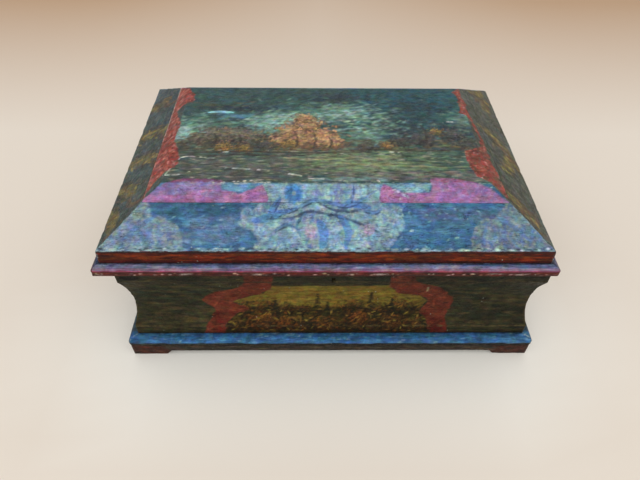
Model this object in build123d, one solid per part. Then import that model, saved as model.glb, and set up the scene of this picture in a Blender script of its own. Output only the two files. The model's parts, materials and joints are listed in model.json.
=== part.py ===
from build123d import *
from math import atan, degrees
import os

# A painted wooden table casket: coved walls on a moulded base with bracket feet, and a bevelled lid
# on two butt hinges with a small box lock. Millimetres. +Z is up, the front faces -Y, and the origin
# is on the ground under the middle of the whole. "Inset" is measured inwards from the upright face of
# the walls. Pieces are drawn about the middle of the body, and moved to the origin at the end.

# Overall sizes
casket_length = 302.5
casket_depth = 203.0

# The lid hangs a little to the left of the body
lid_offset = 5.2

# Heights of the courses, from the ground up
foot_rail_height = 13.2
base_board_thickness = 6.5
wall_height = 75.5
lid_moulding_thickness = 8.0
fascia_height = 11.0

# Foot rails, with bracket feet sawn out of them
foot_rail_overhang = 6.4
foot_rail_width = 17.0
foot_rail_corner_radius = 2.0
foot_length = 27.0
foot_ramp = 4.0
apron_lift = 4.6
foot_rail_top_edge = 0.8

# Base board, with a rounded nose
base_overhang = 6.9
base_corner_radius = 2.5
base_upper_nose_radius = 4.0
base_lower_nose_radius = 1.0

# Walls: a cove between two plain fillets
wall_thickness = 14.0
lower_fillet_height = 9.5
upper_fillet_height = 13.0
cove_depth = 5.0
wall_corner_radius = 1.0

# Lid moulding
lid_moulding_overhang = 6.1
lid_moulding_width = 20.1
moulding_corner_radius = 2.0
moulding_lower_nose = 1.2
moulding_upper_nose = 4.4

# Lid rails: a slightly splayed fascia, a slope, and a rebate for the centre board
fascia_splay = 1.0
fascia_corner_radius = 2.0
slope_run = 39.5
slope_rise = 24.8
rail_seam_inset = 28.0
rail_thickness = 9.5
rebate_width = 6.0
rebate_depth = 6.5

# Butt hinges, with the pin a little outside the back of the walls
hinge_spacing = 170.0
hinge_length = 28.0
hinge_pin_outset = 1.5
knuckle_radius = 2.3
hinge_pin_radius = 1.0
hinge_pin_bevel = 0.3
leaf_thickness = 1.2
leaf_reach = 11.0
leaf_gap = 0.1
running_clearance = 0.05
swing_clearance = 0.35
knuckle_gap = 0.3
hinge_screw_pitch = 9.5
hinge_screw_inset = 6.0

# Small countersunk wood screws
screw_head_radius = 1.7
screw_head_depth = 1.1
screw_shank_radius = 0.85
screw_slot_width = 0.45
screw_slot_depth = 0.4
hinge_screw_length = 7.0
lock_screw_length = 6.5

# Box lock, let into the inner face of the front wall
keyhole_height_below_rim = 9.0
keyhole_radius = 2.5
keyhole_slot_width = 2.4
keyhole_drop = 4.6
lock_plate_length = 42.0
lock_plate_drop = 24.0
lock_plate_thickness = 1.2
lock_selvage_width = 7.8
lock_cap_length = 34.0
lock_cap_drop = 22.0
lock_cap_thickness = 0.8
drill_pin_radius = 0.9
drill_pin_reach = 9.0
rivet_radius = 0.8
rivet_margin = 2.5

# Bolt and the staple that it locks
bolt_length = 20.6
bolt_height = 3.2
bolt_thickness = 2.0
bolt_drop = 3.6
bolt_start = -13.0
bolt_travel = 5.0
talon_width = 4.0
talon_depth = 1.2
guide_thickness = 1.5
guide_clearance = 0.15
guide_wall = 0.7
guide_places = (-11.2, 4.2)
spring_thickness = 0.4
spring_length = 12.0
spring_lift = 1.1
bolt_past_staple = 1.4
staple_thickness = 2.0
staple_rim = 1.0
staple_clearance = 0.35
strike_plate_length = 30.0
strike_plate_thickness = 1.2
strike_plate_gap = 0.05
strike_screw_margin = 4.5
slot_clearance = 0.6

# Nails
nail_head_radius = 1.5
nail_head_thickness = 0.8
nail_radius = 0.7
base_nail_length = 20.0
nail_margin = 30.0
foot_nail_length = 11.0
corner_nail_length = 19.0
corner_nail_inset = 6.0
moulding_nail_length = 13.0
moulding_nail_inset = 8.5
nails_along_front = 4
nails_along_side = 3

# Heights of the joints between the courses
base_bottom = foot_rail_height
base_top = base_bottom + base_board_thickness
rim = base_top + wall_height
moulding_top = rim + lid_moulding_thickness
slope_foot = moulding_top + fascia_height
lid_top = slope_foot + slope_rise
slope = slope_rise / slope_run
seam_height = slope_foot + rail_seam_inset * slope
rebate_floor = seam_height - rebate_depth

body_shift = (lid_moulding_overhang + lid_offset - base_overhang) / 2
half_length = casket_length / 2
half_depth = casket_depth / 2
hinge_axis_y = half_depth + hinge_pin_outset
sides = {"front": 0, "right": 90, "back": 180, "left": 270}


def side_size(side):
    """Half the run of a side and the distance from the middle to its upright face."""
    if side in ("front", "back"):
        return half_length, half_depth
    return half_depth, half_length


def outline(*edges):
    """A closed face from edges drawn as (inset, height) points."""
    return make_face(Wire(list(edges)))


def path(*points):
    """Straight edges through a list of (inset, height) points."""
    return [Line(a, b) for a, b in zip(points, points[1:])]


def mitred_strip(face, side, overhang, width):
    """A strip with the section `face`, mitred at both ends, on one side of the casket."""
    half_run, reach = side_size(side)
    inner = width - overhang
    bar = extrude(Plane.YZ * Pos(-reach, 0) * face, half_run + overhang, both=True)
    plan = Polyline(
        (-half_run - overhang, -reach - overhang),
        (half_run + overhang, -reach - overhang),
        (half_run - inner, -reach + inner),
        (inner - half_run, -reach + inner),
        close=True,
    )
    wedge = extrude(make_face(plan), lid_top)
    return Rot(0, 0, sides[side]) * (bar & wedge)


def rounded_block(overhang, radius, low, high):
    """A block round the whole casket, with its upright edges rounded."""
    plan = RectangleRounded(casket_length + 2 * overhang, casket_depth + 2 * overhang, radius)
    return Pos(0, 0, low) * extrude(plan, high - low)


def block(x, y, z):
    """A box from its lowest and highest corner along each axis."""
    middle = [(low + high) / 2 for low, high in (x, y, z)]
    return Pos(*middle) * Box(x[1] - x[0], y[1] - y[0], z[1] - z[0])


def rod(radius, length):
    """A cylinder along +Z from the origin."""
    return extrude(Circle(radius), length)


def group(shapes):
    """Several separate solids of one kind, as one piece of hardware."""
    return Compound(children=[solid for shape in shapes for solid in shape.solids()])


def turned(*points):
    """A solid turned about Z from (radius, height) points that start and end on the axis."""
    return revolve(Plane.XZ * make_face(Polyline(*points, close=True)), Axis.Z)


def screw_blank(length):
    """A countersunk screw pointing down, its head level with the origin, without its slot."""
    return turned(
        (0, 0),
        (screw_head_radius, 0),
        (screw_shank_radius, -screw_head_depth),
        (screw_shank_radius, -length + 2 * screw_shank_radius),
        (0, -length),
    )


def screw(length):
    """The screw with its slot."""
    slot = Box(2 * screw_head_radius, screw_slot_width, 2 * screw_slot_depth)
    return screw_blank(length) - slot


def nail(length):
    """A flat-headed nail pointing down, its head level with the origin."""
    return turned(
        (0, 0),
        (nail_head_radius, 0),
        (nail_head_radius, -nail_head_thickness),
        (nail_radius, -nail_head_thickness),
        (nail_radius, -length + 2 * nail_radius),
        (0, -length),
    )


def spread(count, half_run, margin):
    """Evenly spaced places along a side, `margin` in from both ends."""
    reach = half_run - margin
    return [-reach + 2 * reach * i / (count - 1) for i in range(count)]


def round_the_sides(inset, margin, height, one):
    """Copies of one nail along the four sides, driven upwards."""
    places = []
    for side, turn in sides.items():
        half_run, reach = side_size(side)
        count = nails_along_front if side in ("front", "back") else nails_along_side
        for along in spread(count, half_run, margin):
            pose = Rot(0, 0, turn) * Pos(along, inset - reach, height) * Rot(180, 0, 0)
            places.append(pose * one)
    return places


# Base

def foot_rail(side):
    """A strip under the base board, sawn away between its two bracket feet."""
    inner = foot_rail_width - foot_rail_overhang
    half_run, reach = side_size(side)
    front = -foot_rail_overhang
    face = outline(*path(
        (inner, 0),
        (front, 0),
        (front, foot_rail_height - foot_rail_top_edge),
        (front + foot_rail_top_edge, foot_rail_height),
        (inner, foot_rail_height),
        (inner, 0),
    ))
    strip = mitred_strip(face, side, foot_rail_overhang, foot_rail_width)
    foot_end = half_run + foot_rail_overhang - foot_length
    gap = make_face(Polyline(
        (-foot_end, 0),
        (foot_end, 0),
        (foot_end - foot_ramp, apron_lift),
        (foot_ramp - foot_end, apron_lift),
        close=True,
    ))
    cut = extrude(Plane.XZ.offset(reach) * gap, foot_rail_width, both=True)
    strip -= Rot(0, 0, sides[side]) * cut
    return strip & rounded_block(foot_rail_overhang, foot_rail_corner_radius, 0, foot_rail_height)


def base_board():
    """The floor of the casket, with a rounded nose all round."""
    board = rounded_block(base_overhang, base_corner_radius, base_bottom, base_top)
    board = fillet(board.faces().sort_by(Axis.Z)[-1].edges(), base_upper_nose_radius)
    return fillet(board.faces().sort_by(Axis.Z)[0].edges(), base_lower_nose_radius)


# Walls

def wall(side):
    """A coved wall board, mitred at its ends."""
    cove_foot = base_top + lower_fillet_height
    cove_head = rim - upper_fillet_height
    cove = ThreePointArc((0, cove_foot), (cove_depth, (cove_foot + cove_head) / 2), (0, cove_head))
    edges = path((wall_thickness, rim), (wall_thickness, base_top), (0, base_top), (0, cove_foot))
    edges += [cove]
    edges += path((0, cove_head), (0, rim), (wall_thickness, rim))
    strip = mitred_strip(outline(*edges), side, 0, wall_thickness)
    return strip & rounded_block(0, wall_corner_radius, base_top, rim)


# Lid

def lid_moulding(side):
    """The lid's lowest course, with a rounded nose."""
    inner = lid_moulding_width - lid_moulding_overhang
    nose = -lid_moulding_overhang
    low, high = moulding_lower_nose, moulding_upper_nose
    bend = 1 - 0.5 ** 0.5
    edges = path((inner, moulding_top), (inner, rim), (nose + low, rim))
    edges += [ThreePointArc(
        (nose + low, rim),
        (nose + low * bend, rim + low * bend),
        (nose, rim + low),
    )]
    edges += path((nose, rim + low), (nose, moulding_top - high))
    edges += [ThreePointArc(
        (nose, moulding_top - high),
        (nose + high * bend, moulding_top - high * bend),
        (nose + high, moulding_top),
    )]
    edges += path((nose + high, moulding_top), (inner, moulding_top))
    strip = mitred_strip(outline(*edges), side, lid_moulding_overhang, lid_moulding_width)
    return strip & rounded_block(lid_moulding_overhang, moulding_corner_radius, rim, moulding_top)


def lid_rail(side):
    """A bevelled rail: fascia, slope, and the rebate that carries the centre board."""
    inner = lid_moulding_width - lid_moulding_overhang
    ledge = rail_seam_inset + rebate_width
    rise = rail_thickness * (1 + slope ** 2) ** 0.5
    face = outline(*path(
        (-fascia_splay, moulding_top),
        (0, slope_foot),
        (rail_seam_inset, seam_height),
        (rail_seam_inset, rebate_floor),
        (ledge, rebate_floor),
        (ledge, slope_foot + ledge * slope - rise),
        (inner, slope_foot + inner * slope - rise),
        (inner, moulding_top),
        (-fascia_splay, moulding_top),
    ))
    strip = mitred_strip(face, side, fascia_splay, ledge + fascia_splay)
    return strip & rounded_block(fascia_splay, fascia_corner_radius, moulding_top, lid_top)


def lid_panel():
    """The centre board, let into the rails, with its edge bevelled to go on with the slope."""
    plan = Rectangle(casket_length - 2 * rail_seam_inset, casket_depth - 2 * rail_seam_inset)
    bevel_angle = degrees(atan(slope_run / slope_rise))
    body = Pos(0, 0, rebate_floor) * extrude(plan, rebate_depth)
    return body + Pos(0, 0, seam_height) * extrude(plan, lid_top - seam_height, taper=bevel_angle)


# Hinges

def hinge_frame(x):
    """Where a hinge stands: the middle of its pin, with +Y towards the front of the casket."""
    return Pos(x, hinge_axis_y, rim) * Rot(0, 0, 180)


def along_x(radius, low, high):
    """A cylinder about the X axis between two places."""
    return Pos(low, 0, 0) * Rot(0, 90, 0) * rod(radius, high - low)


def knuckle_spans():
    """The three knuckles along a hinge: outer, middle, outer."""
    length = (hinge_length - 2 * knuckle_gap) / 3
    starts = [i * (length + knuckle_gap) - hinge_length / 2 for i in range(3)]
    return [(start, start + length) for start in starts]


def hinge_screw_places():
    """Places of the screws in a leaf, seen from the pin."""
    y = hinge_pin_outset + hinge_screw_inset
    return [(x, y) for x in (-hinge_screw_pitch, 0, hinge_screw_pitch)]


def leaf(below):
    """A hinge leaf with its knuckles: the walls' leaf below the seam, or the lid's above it."""
    spans = knuckle_spans()
    own = [spans[0], spans[2]] if below else [spans[1]]
    others = [spans[1]] if below else [spans[0], spans[2]]
    near, far = leaf_gap / 2, leaf_thickness
    heights = (-far, -near) if below else (near, far)
    half = hinge_length / 2
    plate = block((-half, half), (0, leaf_reach), heights)
    for low, high in others:
        plate -= along_x(knuckle_radius + knuckle_gap, low - knuckle_gap, high + knuckle_gap)
    for low, high in own:
        plate += along_x(knuckle_radius, low, high)
    bore = hinge_pin_radius if below else hinge_pin_radius + running_clearance
    plate -= along_x(bore, -half, half)
    for x, y in hinge_screw_places():
        turn = Rot(0, 0, 0) if below else Rot(180, 0, 0)
        level = -near if below else near
        plate -= Pos(x, y, level) * turn * screw_blank(hinge_screw_length)
    return plate


def hinge_pin():
    """A plain pin with bevelled ends, held by the outer knuckles."""
    pin = along_x(hinge_pin_radius, -hinge_length / 2, hinge_length / 2)
    return chamfer(pin.edges().filter_by(GeomType.CIRCLE), hinge_pin_bevel)


def hinge_screws(below):
    """The screws of both hinges in one leaf each."""
    level = -leaf_gap / 2 if below else leaf_gap / 2
    turn = Rot(0, 0, 0) if below else Rot(180, 0, 0)
    return [
        hinge_frame(x) * Pos(sx, sy, level) * turn * screw(hinge_screw_length)
        for x in hinge_places
        for sx, sy in hinge_screw_places()
    ]


def hinge_cut(below):
    """The wood taken out for the leaves and for the knuckles to turn in."""
    half = hinge_length / 2
    heights = (-leaf_thickness, 0) if below else (0, leaf_thickness)
    turn = Rot(0, 0, 0) if below else Rot(180, 0, 0)
    level = -leaf_gap / 2 if below else leaf_gap / 2
    cuts = []
    for x in hinge_places:
        recess = block((-half, half), (0, leaf_reach), heights)
        swing = half + swing_clearance
        recess += along_x(knuckle_radius + swing_clearance, -swing, swing)
        for sx, sy in hinge_screw_places():
            recess += Pos(sx, sy, level) * turn * screw_blank(hinge_screw_length)
        cuts.append(hinge_frame(x) * recess)
    return cuts


# Lock. Its own frame has the origin on the rim at the inner face of the front wall, +Y towards the
# front of the casket, +X to the left as seen from inside.

lock_frame = Pos(0, wall_thickness - half_depth, rim) * Rot(0, 0, 180)
cap_face = lock_selvage_width
key_level = -keyhole_height_below_rim
plate_half = lock_plate_length / 2
cap_half = lock_cap_length / 2
bolt_middle = (lock_plate_thickness + cap_face - lock_cap_thickness) / 2
bolt_top = -bolt_drop
bolt_bottom = bolt_top - bolt_height
bolt_end = bolt_start + bolt_length
staple_start = bolt_end + bolt_travel - bolt_past_staple - staple_thickness
staple_end = staple_start + staple_thickness
staple_half_width = bolt_thickness / 2 + staple_clearance + staple_rim
staple_bottom = bolt_bottom - staple_clearance - staple_rim
strike_start = (staple_start + staple_end - strike_plate_length) / 2
strike_end = strike_start + strike_plate_length


def keyhole(low, high):
    """The keyhole's shape through the thickness between two depths."""
    hole = Pos(0, high, key_level) * Rot(90, 0, 0) * rod(keyhole_radius, high - low)
    slot_half = keyhole_slot_width / 2
    return hole + block((-slot_half, slot_half), (low, high), (key_level - keyhole_drop, key_level))


def lock_screw_places():
    """The four corners of the lock plate, outside the cap."""
    x = (plate_half + cap_half) / 2
    margin = 2 * screw_head_radius
    return [(sx, z) for sx in (-x, x) for z in (-margin, margin - lock_plate_drop)]


def rivet_places():
    """The four corners of the cap."""
    x = cap_half - rivet_margin
    heights = (-lock_plate_thickness - rivet_margin, rivet_margin - lock_cap_drop)
    return [(sx, z) for sx in (-x, x) for z in heights]


def horizontal(x, depth, z, shape):
    """A shape that points down, turned to point from the inside towards the front."""
    return Pos(x, depth, z) * Rot(90, 0, 0) * shape


def rivet():
    """A rivet through plate and cap."""
    return horizontal(0, 0, 0, Pos(0, 0, -cap_face) * rod(rivet_radius, cap_face))


def lock_plate():
    """The plate on the inner face of the wall, with the selvage along its top."""
    t = lock_plate_thickness
    plate = block((-plate_half, plate_half), (0, t), (-lock_plate_drop, 0))
    plate += block((-plate_half, plate_half), (0, lock_selvage_width), (-t, 0))
    plate -= block(
        (staple_start - slot_clearance, staple_end + slot_clearance),
        (t, cap_face - lock_cap_thickness),
        (-t, 0),
    )
    for x, z in lock_screw_places():
        plate -= horizontal(x, 0, z, screw_blank(lock_screw_length))
    for x, z in rivet_places():
        plate -= Pos(x, 0, z) * rivet()
    return plate - horizontal(0, 0, key_level, Pos(0, 0, -t) * rod(drill_pin_radius, t))


def lock_cap():
    """The pan that closes the lock on the wood's side."""
    t = lock_cap_thickness
    low, high = -lock_cap_drop, -lock_plate_thickness
    cap = block((-cap_half, cap_half), (lock_plate_thickness, cap_face), (low, high))
    cap -= block((t - cap_half, cap_half - t), (lock_plate_thickness, cap_face - t), (low + t, high))
    for x, z in rivet_places():
        cap -= Pos(x, 0, z) * rivet()
    return cap - keyhole(cap_face - t, cap_face)


def lock_bolt():
    """The sliding bolt, drawn back, with a notch for the key."""
    half = bolt_thickness / 2
    bar = block((bolt_start, bolt_end), (bolt_middle - half, bolt_middle + half), (bolt_bottom, bolt_top))
    notch = block(
        (-talon_width, 0),
        (bolt_middle - half, bolt_middle + half),
        (bolt_bottom, bolt_bottom + talon_depth),
    )
    return bar - notch


def lock_bolt_guide(x):
    """A bridge on the plate that the bolt slides through."""
    half = bolt_thickness / 2 + guide_clearance
    high = bolt_top + guide_clearance
    low = bolt_bottom - guide_clearance
    span = (x, x + guide_thickness)
    bridge = block(
        span,
        (lock_plate_thickness, bolt_middle + half + guide_wall),
        (low - guide_wall, high + guide_wall),
    )
    return bridge - block(span, (bolt_middle - half, bolt_middle + half), (low, high))


def lock_spring():
    """A bowed leaf spring above the bolt, fixed to the plate at its two ends."""
    half = spring_length / 2
    centre = (guide_places[0] + guide_thickness + guide_places[1]) / 2
    low = bolt_top + guide_clearance
    high = low + spring_lift
    upper_end = high + spring_thickness
    top = ThreePointArc((-half, upper_end), (0, low + spring_thickness), (half, upper_end))
    bottom = ThreePointArc((-half, high), (0, low), (half, high))
    edges = [top, Line((half, upper_end), (half, high)), bottom, Line((-half, high), (-half, upper_end))]
    strip = extrude(Plane.XZ * make_face(Wire(edges)), bolt_thickness)
    strip = Pos(centre, bolt_middle + bolt_thickness / 2, 0) * strip
    feet = [
        block(
            (centre + x - spring_thickness, centre + x + spring_thickness),
            (lock_plate_thickness, bolt_middle + bolt_thickness / 2),
            (high, high + spring_thickness),
        )
        for x in (spring_thickness - half, half - spring_thickness)
    ]
    return strip + feet[0] + feet[1]


def drill_pin():
    """The pin that a hollow key turns on."""
    return horizontal(0, 0, key_level, Pos(0, 0, -drill_pin_reach) * rod(drill_pin_radius, drill_pin_reach))


def strike_plate():
    """The plate in the lid with the staple that goes into the lock."""
    low = strike_plate_gap
    plate = block((strike_start, strike_end), (0, lock_selvage_width), (low, strike_plate_thickness))
    staple = block(
        (staple_start, staple_end),
        (bolt_middle - staple_half_width, bolt_middle + staple_half_width),
        (staple_bottom, low),
    )
    eye_half = bolt_thickness / 2 + staple_clearance
    eye = block(
        (staple_start, staple_end),
        (bolt_middle - eye_half, bolt_middle + eye_half),
        (bolt_bottom - staple_clearance, bolt_top + staple_clearance),
    )
    plate += staple - eye
    for x, y in strike_screw_places():
        plate -= Pos(x, y, low) * Rot(180, 0, 0) * screw_blank(lock_screw_length)
    return plate


def strike_screw_places():
    """The two screws of the strike plate."""
    y = lock_selvage_width / 2
    return [(strike_start + strike_screw_margin, y), (strike_end - strike_screw_margin, y)]


def lock_cut():
    """The wood taken out of the front wall for the lock and the keyhole."""
    t = lock_plate_thickness
    cut = block((-plate_half, plate_half), (0, t), (-lock_plate_drop, 0))
    cut += block((-plate_half, plate_half), (0, lock_selvage_width), (-t, 0))
    cut += block((-cap_half, cap_half), (t, cap_face), (-lock_cap_drop, -t))
    cut += keyhole(cap_face, wall_thickness)
    for x, z in lock_screw_places():
        cut += horizontal(x, 0, z, screw_blank(lock_screw_length))
    return lock_frame * cut


def strike_cut():
    """The wood taken out of the lid's front moulding for the strike plate."""
    cut = block((strike_start, strike_end), (0, lock_selvage_width), (0, strike_plate_thickness))
    for x, y in strike_screw_places():
        cut += Pos(x, y, strike_plate_gap) * Rot(180, 0, 0) * screw_blank(lock_screw_length)
    return lock_frame * cut


# Assembly
hinge_places = (-hinge_spacing / 2, hinge_spacing / 2)
hinge_names = ("left", "right")
parts = {}

to_lid = Pos(-lid_offset, 0, 0)
for side in sides:
    parts["foot_rail_" + side] = foot_rail(side)
    parts["wall_" + side] = wall(side)
    parts["lid_moulding_" + side] = to_lid * lid_moulding(side)
    parts["lid_rail_" + side] = to_lid * lid_rail(side)
parts["base_board"] = base_board()
parts["lid_panel"] = to_lid * lid_panel()

base_nails = round_the_sides(wall_thickness / 2, nail_margin, base_bottom, nail(base_nail_length))
foot_nails = round_the_sides(0, foot_length + nail_margin, apron_lift, nail(foot_nail_length))
moulding_nails = round_the_sides(moulding_nail_inset, nail_margin, rim, nail(moulding_nail_length))
moulding_nails = [to_lid * one for one in moulding_nails]
corner_nails = []
for x in (-1, 1):
    for y in (-1, 1):
        for z in (base_top + lower_fillet_height / 2, rim - upper_fillet_height / 2):
            pose = Pos(x * half_length, y * (half_depth - corner_nail_inset), z) * Rot(0, 90 * x, 0)
            corner_nails.append(pose * nail(corner_nail_length))

for name, x in zip(hinge_names, hinge_places):
    parts[f"hinge_{name}_body_leaf"] = hinge_frame(x) * leaf(True)
    parts[f"hinge_{name}_lid_leaf"] = hinge_frame(x) * leaf(False)
    parts[f"hinge_{name}_pin"] = hinge_frame(x) * hinge_pin()
for cut in hinge_cut(True):
    parts["wall_back"] -= cut
for cut in hinge_cut(False):
    parts["lid_moulding_back"] -= cut

parts["lock_plate"] = lock_frame * lock_plate()
parts["lock_cap"] = lock_frame * lock_cap()
parts["lock_bolt"] = lock_frame * lock_bolt()
parts["lock_spring"] = lock_frame * lock_spring()
parts["lock_drill_pin"] = lock_frame * drill_pin()
parts["strike_plate"] = lock_frame * strike_plate()
parts["wall_front"] -= lock_cut()
parts["lid_moulding_front"] -= strike_cut()

for nails, woods in (
    (base_nails, ["base_board"] + ["wall_" + side for side in sides]),
    (foot_nails, ["base_board"] + ["foot_rail_" + side for side in sides]),
    (moulding_nails, ["lid_moulding_" + side for side in sides] + ["lid_rail_" + side for side in sides]),
    (corner_nails, ["wall_" + side for side in sides]),
):
    for wood in woods:
        for one in nails:
            parts[wood] -= one

screw_down = screw(lock_screw_length)
groups = {
    "base_nails": base_nails,
    "foot_rail_nails": foot_nails,
    "moulding_nails": moulding_nails,
    "corner_nails": corner_nails,
    "hinge_screws_body": hinge_screws(True),
    "hinge_screws_lid": hinge_screws(False),
    "lock_bolt_guides": [lock_frame * lock_bolt_guide(x) for x in guide_places],
    "lock_rivets": [lock_frame * Pos(x, 0, z) * rivet() for x, z in rivet_places()],
    "lock_screws": [lock_frame * horizontal(x, 0, z, screw_down) for x, z in lock_screw_places()],
    "strike_screws": [
        lock_frame * Pos(x, y, strike_plate_gap) * Rot(180, 0, 0) * screw_down
        for x, y in strike_screw_places()
    ],
}
for name, members in groups.items():
    parts[name] = group(members)

os.makedirs("parts", exist_ok=True)
for name, shape in parts.items():
    export_step(Pos(body_shift, 0, 0) * shape, f"parts/{name}.step")
print(len(parts), "pieces")
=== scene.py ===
import json
from math import ceil, cos, pi, radians, sin

import bpy
import numpy as np
from mathutils import Matrix, Vector


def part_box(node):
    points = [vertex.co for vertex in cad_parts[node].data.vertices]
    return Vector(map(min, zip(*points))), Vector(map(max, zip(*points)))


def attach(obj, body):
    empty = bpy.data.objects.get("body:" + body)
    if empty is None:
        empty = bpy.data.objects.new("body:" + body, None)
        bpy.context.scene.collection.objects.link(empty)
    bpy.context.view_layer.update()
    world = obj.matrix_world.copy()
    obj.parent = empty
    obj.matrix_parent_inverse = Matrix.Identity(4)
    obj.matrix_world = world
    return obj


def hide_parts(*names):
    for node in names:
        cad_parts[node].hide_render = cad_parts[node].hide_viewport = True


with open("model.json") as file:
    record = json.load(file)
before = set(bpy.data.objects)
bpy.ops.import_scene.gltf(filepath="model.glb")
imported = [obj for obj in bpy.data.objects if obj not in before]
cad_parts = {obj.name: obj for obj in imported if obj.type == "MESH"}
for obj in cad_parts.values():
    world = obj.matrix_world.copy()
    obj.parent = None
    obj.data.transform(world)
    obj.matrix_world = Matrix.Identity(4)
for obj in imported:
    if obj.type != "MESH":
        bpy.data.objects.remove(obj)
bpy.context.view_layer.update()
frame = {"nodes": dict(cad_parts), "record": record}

# A painted and varnished wooden casket, old and worn. Every board is rebuilt as a fine mesh with softened,
# chipped edges, and its paint is laid on in strokes. Places and sizes are in millimetres of the row frame,
# and on a side they are taken from its middle (along), from its upright face inwards (inset) and from the
# ground (height). Colours are written as they look, from 0 to 255.

MM = 0.001
STEP = 0.8


def box_mm(node):
    """The lowest and highest corner of a CAD node."""
    low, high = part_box(node)
    return np.array(low) / MM, np.array(high) / MM


# Sizes from the frame
wall_low, wall_high = box_mm("wall_front")
RIM = wall_high[2]
BASE_TOP = wall_low[2]
WALL = wall_high[1] - wall_low[1]
BODY_X = (wall_low[0] + wall_high[0]) / 2
HALF_LENGTH = (wall_high[0] - wall_low[0]) / 2
HALF_DEPTH = -wall_low[1]
foot_low, foot_high = box_mm("foot_rail_front")
FOOT_OUT = -HALF_DEPTH - foot_low[1]
FOOT_WIDTH = foot_high[1] - foot_low[1]
BASE_BOTTOM = foot_high[2]
base_low, _ = box_mm("base_board")
BASE_OUT = -HALF_DEPTH - base_low[1]
moulding_low, moulding_high = box_mm("lid_moulding_front")
MOULDING_TOP = moulding_high[2]
MOULDING_OUT = -HALF_DEPTH - moulding_low[1]
MOULDING_WIDTH = moulding_high[1] - moulding_low[1]
LID_X = (moulding_low[0] + moulding_high[0]) / 2
rail_low, rail_high = box_mm("lid_rail_front")
SPLAY = -HALF_DEPTH - rail_low[1]
LEDGE = HALF_DEPTH + rail_high[1]
SEAM_HEIGHT = rail_high[2]
panel_low, panel_high = box_mm("lid_panel")
LID_TOP = panel_high[2]
REBATE_FLOOR = panel_low[2]
SEAM = HALF_DEPTH + panel_low[1]

# Sizes that the frame's boxes don't show
FASCIA = 11.0
SLOPE_FOOT = MOULDING_TOP + FASCIA
SLOPE = (SEAM_HEIGHT - SLOPE_FOOT) / SEAM
CREASE = (LID_TOP - SLOPE_FOOT) / SLOPE
RAIL_THICKNESS = 9.5
LOWER_FILLET, UPPER_FILLET, COVE_DEPTH = 9.5, 13.0, 5.0
FOOT_LENGTH, FOOT_RAMP, APRON_LIFT = 27.0, 4.0, 4.6
BASE_NOSES, MOULDING_NOSES = (1.0, 4.0), (1.2, 4.4)
CORNER_RADIUS, BASE_CORNER_RADIUS, WALL_CORNER_RADIUS = 2.0, 2.5, 1.0
PLATE, KEYHOLE_DROP, KEYHOLE_RADIUS, KEY_SLOT, KEY_SLOT_DROP = 1.2, 9.0, 2.5, 2.4, 4.6
KNUCKLE_ROOM = 2.65
SIDES = {"front": 0, "right": 90, "back": 180, "left": 270}
FAR_OFF = 99.0
OUTSIDE = -FAR_OFF


# Numbers and shapes

def lattice(cells):
    """A repeatable number from -1 to 1 for each whole-numbered place."""
    n = cells[:, 0] * 73856093 ^ cells[:, 1] * 19349663 ^ cells[:, 2] * 83492791
    n = (n ^ (n >> 13)) * 1274126177 & 0x7FFFFFFF
    n = (n ^ (n >> 16)) * 668265263 & 0x7FFFFFFF
    return n / 0x3FFFFFFF - 1


def noise(places, lump, seed=0):
    """Smooth noise from -1 to 1; lump is the size of its swellings, one number or one for each axis."""
    p = np.asarray(places, float) / lump + 31.7 * seed
    cell = np.floor(p).astype(np.int64)
    f = p - cell
    f = f * f * (3 - 2 * f)
    total = np.zeros(len(p))
    for corner in np.ndindex(2, 2, 2):
        weight = np.prod(np.where(corner, f, 1 - f), axis=1)
        total += weight * lattice(cell + corner)
    return total


def rounded(corners, step=STEP):
    """A dense line through (inset, height, radius) corners, each bent to its radius."""
    line = [np.array(corners[0][:2], float)]
    for i in range(1, len(corners) - 1):
        before, here, after = (np.array(c[:2], float) for c in corners[i - 1:i + 2])
        radius = corners[i][2]
        start = here + radius * (before - here) / np.linalg.norm(before - here)
        end = here + radius * (after - here) / np.linalg.norm(after - here)
        spread = np.dot(before - here, after - here)
        spread = spread / np.linalg.norm(before - here) / np.linalg.norm(after - here)
        weight = ((1 - spread) / 2) ** 0.5
        for t in np.linspace(0, 1, max(3, ceil(radius * 1.6 / step))):
            a, b, c = (1 - t) ** 2, 2 * t * (1 - t) * weight, t * t
            line.append((a * start + b * here + c * end) / (a + b + c))
    line.append(np.array(corners[-1][:2], float))
    dense = [line[0]]
    for a, b in zip(line, line[1:]):
        length = np.linalg.norm(b - a)
        if length > 1e-3:
            count = max(1, ceil(length / step))
            dense += [a + (b - a) * (i + 1) / count for i in range(count)]
    return np.array(dense)


def resampled(line, count):
    """The same line with that many evenly spaced points."""
    lengths = np.r_[0, np.cumsum(np.linalg.norm(np.diff(line, axis=0), axis=1))]
    places = np.linspace(0, lengths[-1], count)
    return np.stack([np.interp(places, lengths, line[:, i]) for i in range(2)], axis=1)


def clipped(x, y, half_x, half_y, radius):
    """Places pulled in to a rectangle with rounded corners."""
    dx = np.abs(x) - (half_x - radius)
    dy = np.abs(y) - (half_y - radius)
    far = np.hypot(dx, dy)
    pull = np.where((dx > 0) & (dy > 0) & (far > radius), radius / np.maximum(far, 1e-9), 1.0)
    return np.sign(x) * (half_x - radius + dx * pull), np.sign(y) * (half_y - radius + dy * pull)


def side_size(side):
    """Half the run of a side and the distance from the middle to its upright face."""
    return (HALF_LENGTH, HALF_DEPTH) if side in ("front", "back") else (HALF_DEPTH, HALF_LENGTH)


def turned(points, degrees, centre_x):
    """Points of a side's own frame, which is the front's, put where that side is."""
    c, s = cos(radians(degrees)), sin(radians(degrees))
    x, y = points[:, 0], points[:, 1]
    return np.stack([centre_x + c * x - s * y, s * x + c * y, points[:, 2]], axis=1)


# Meshes

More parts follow.
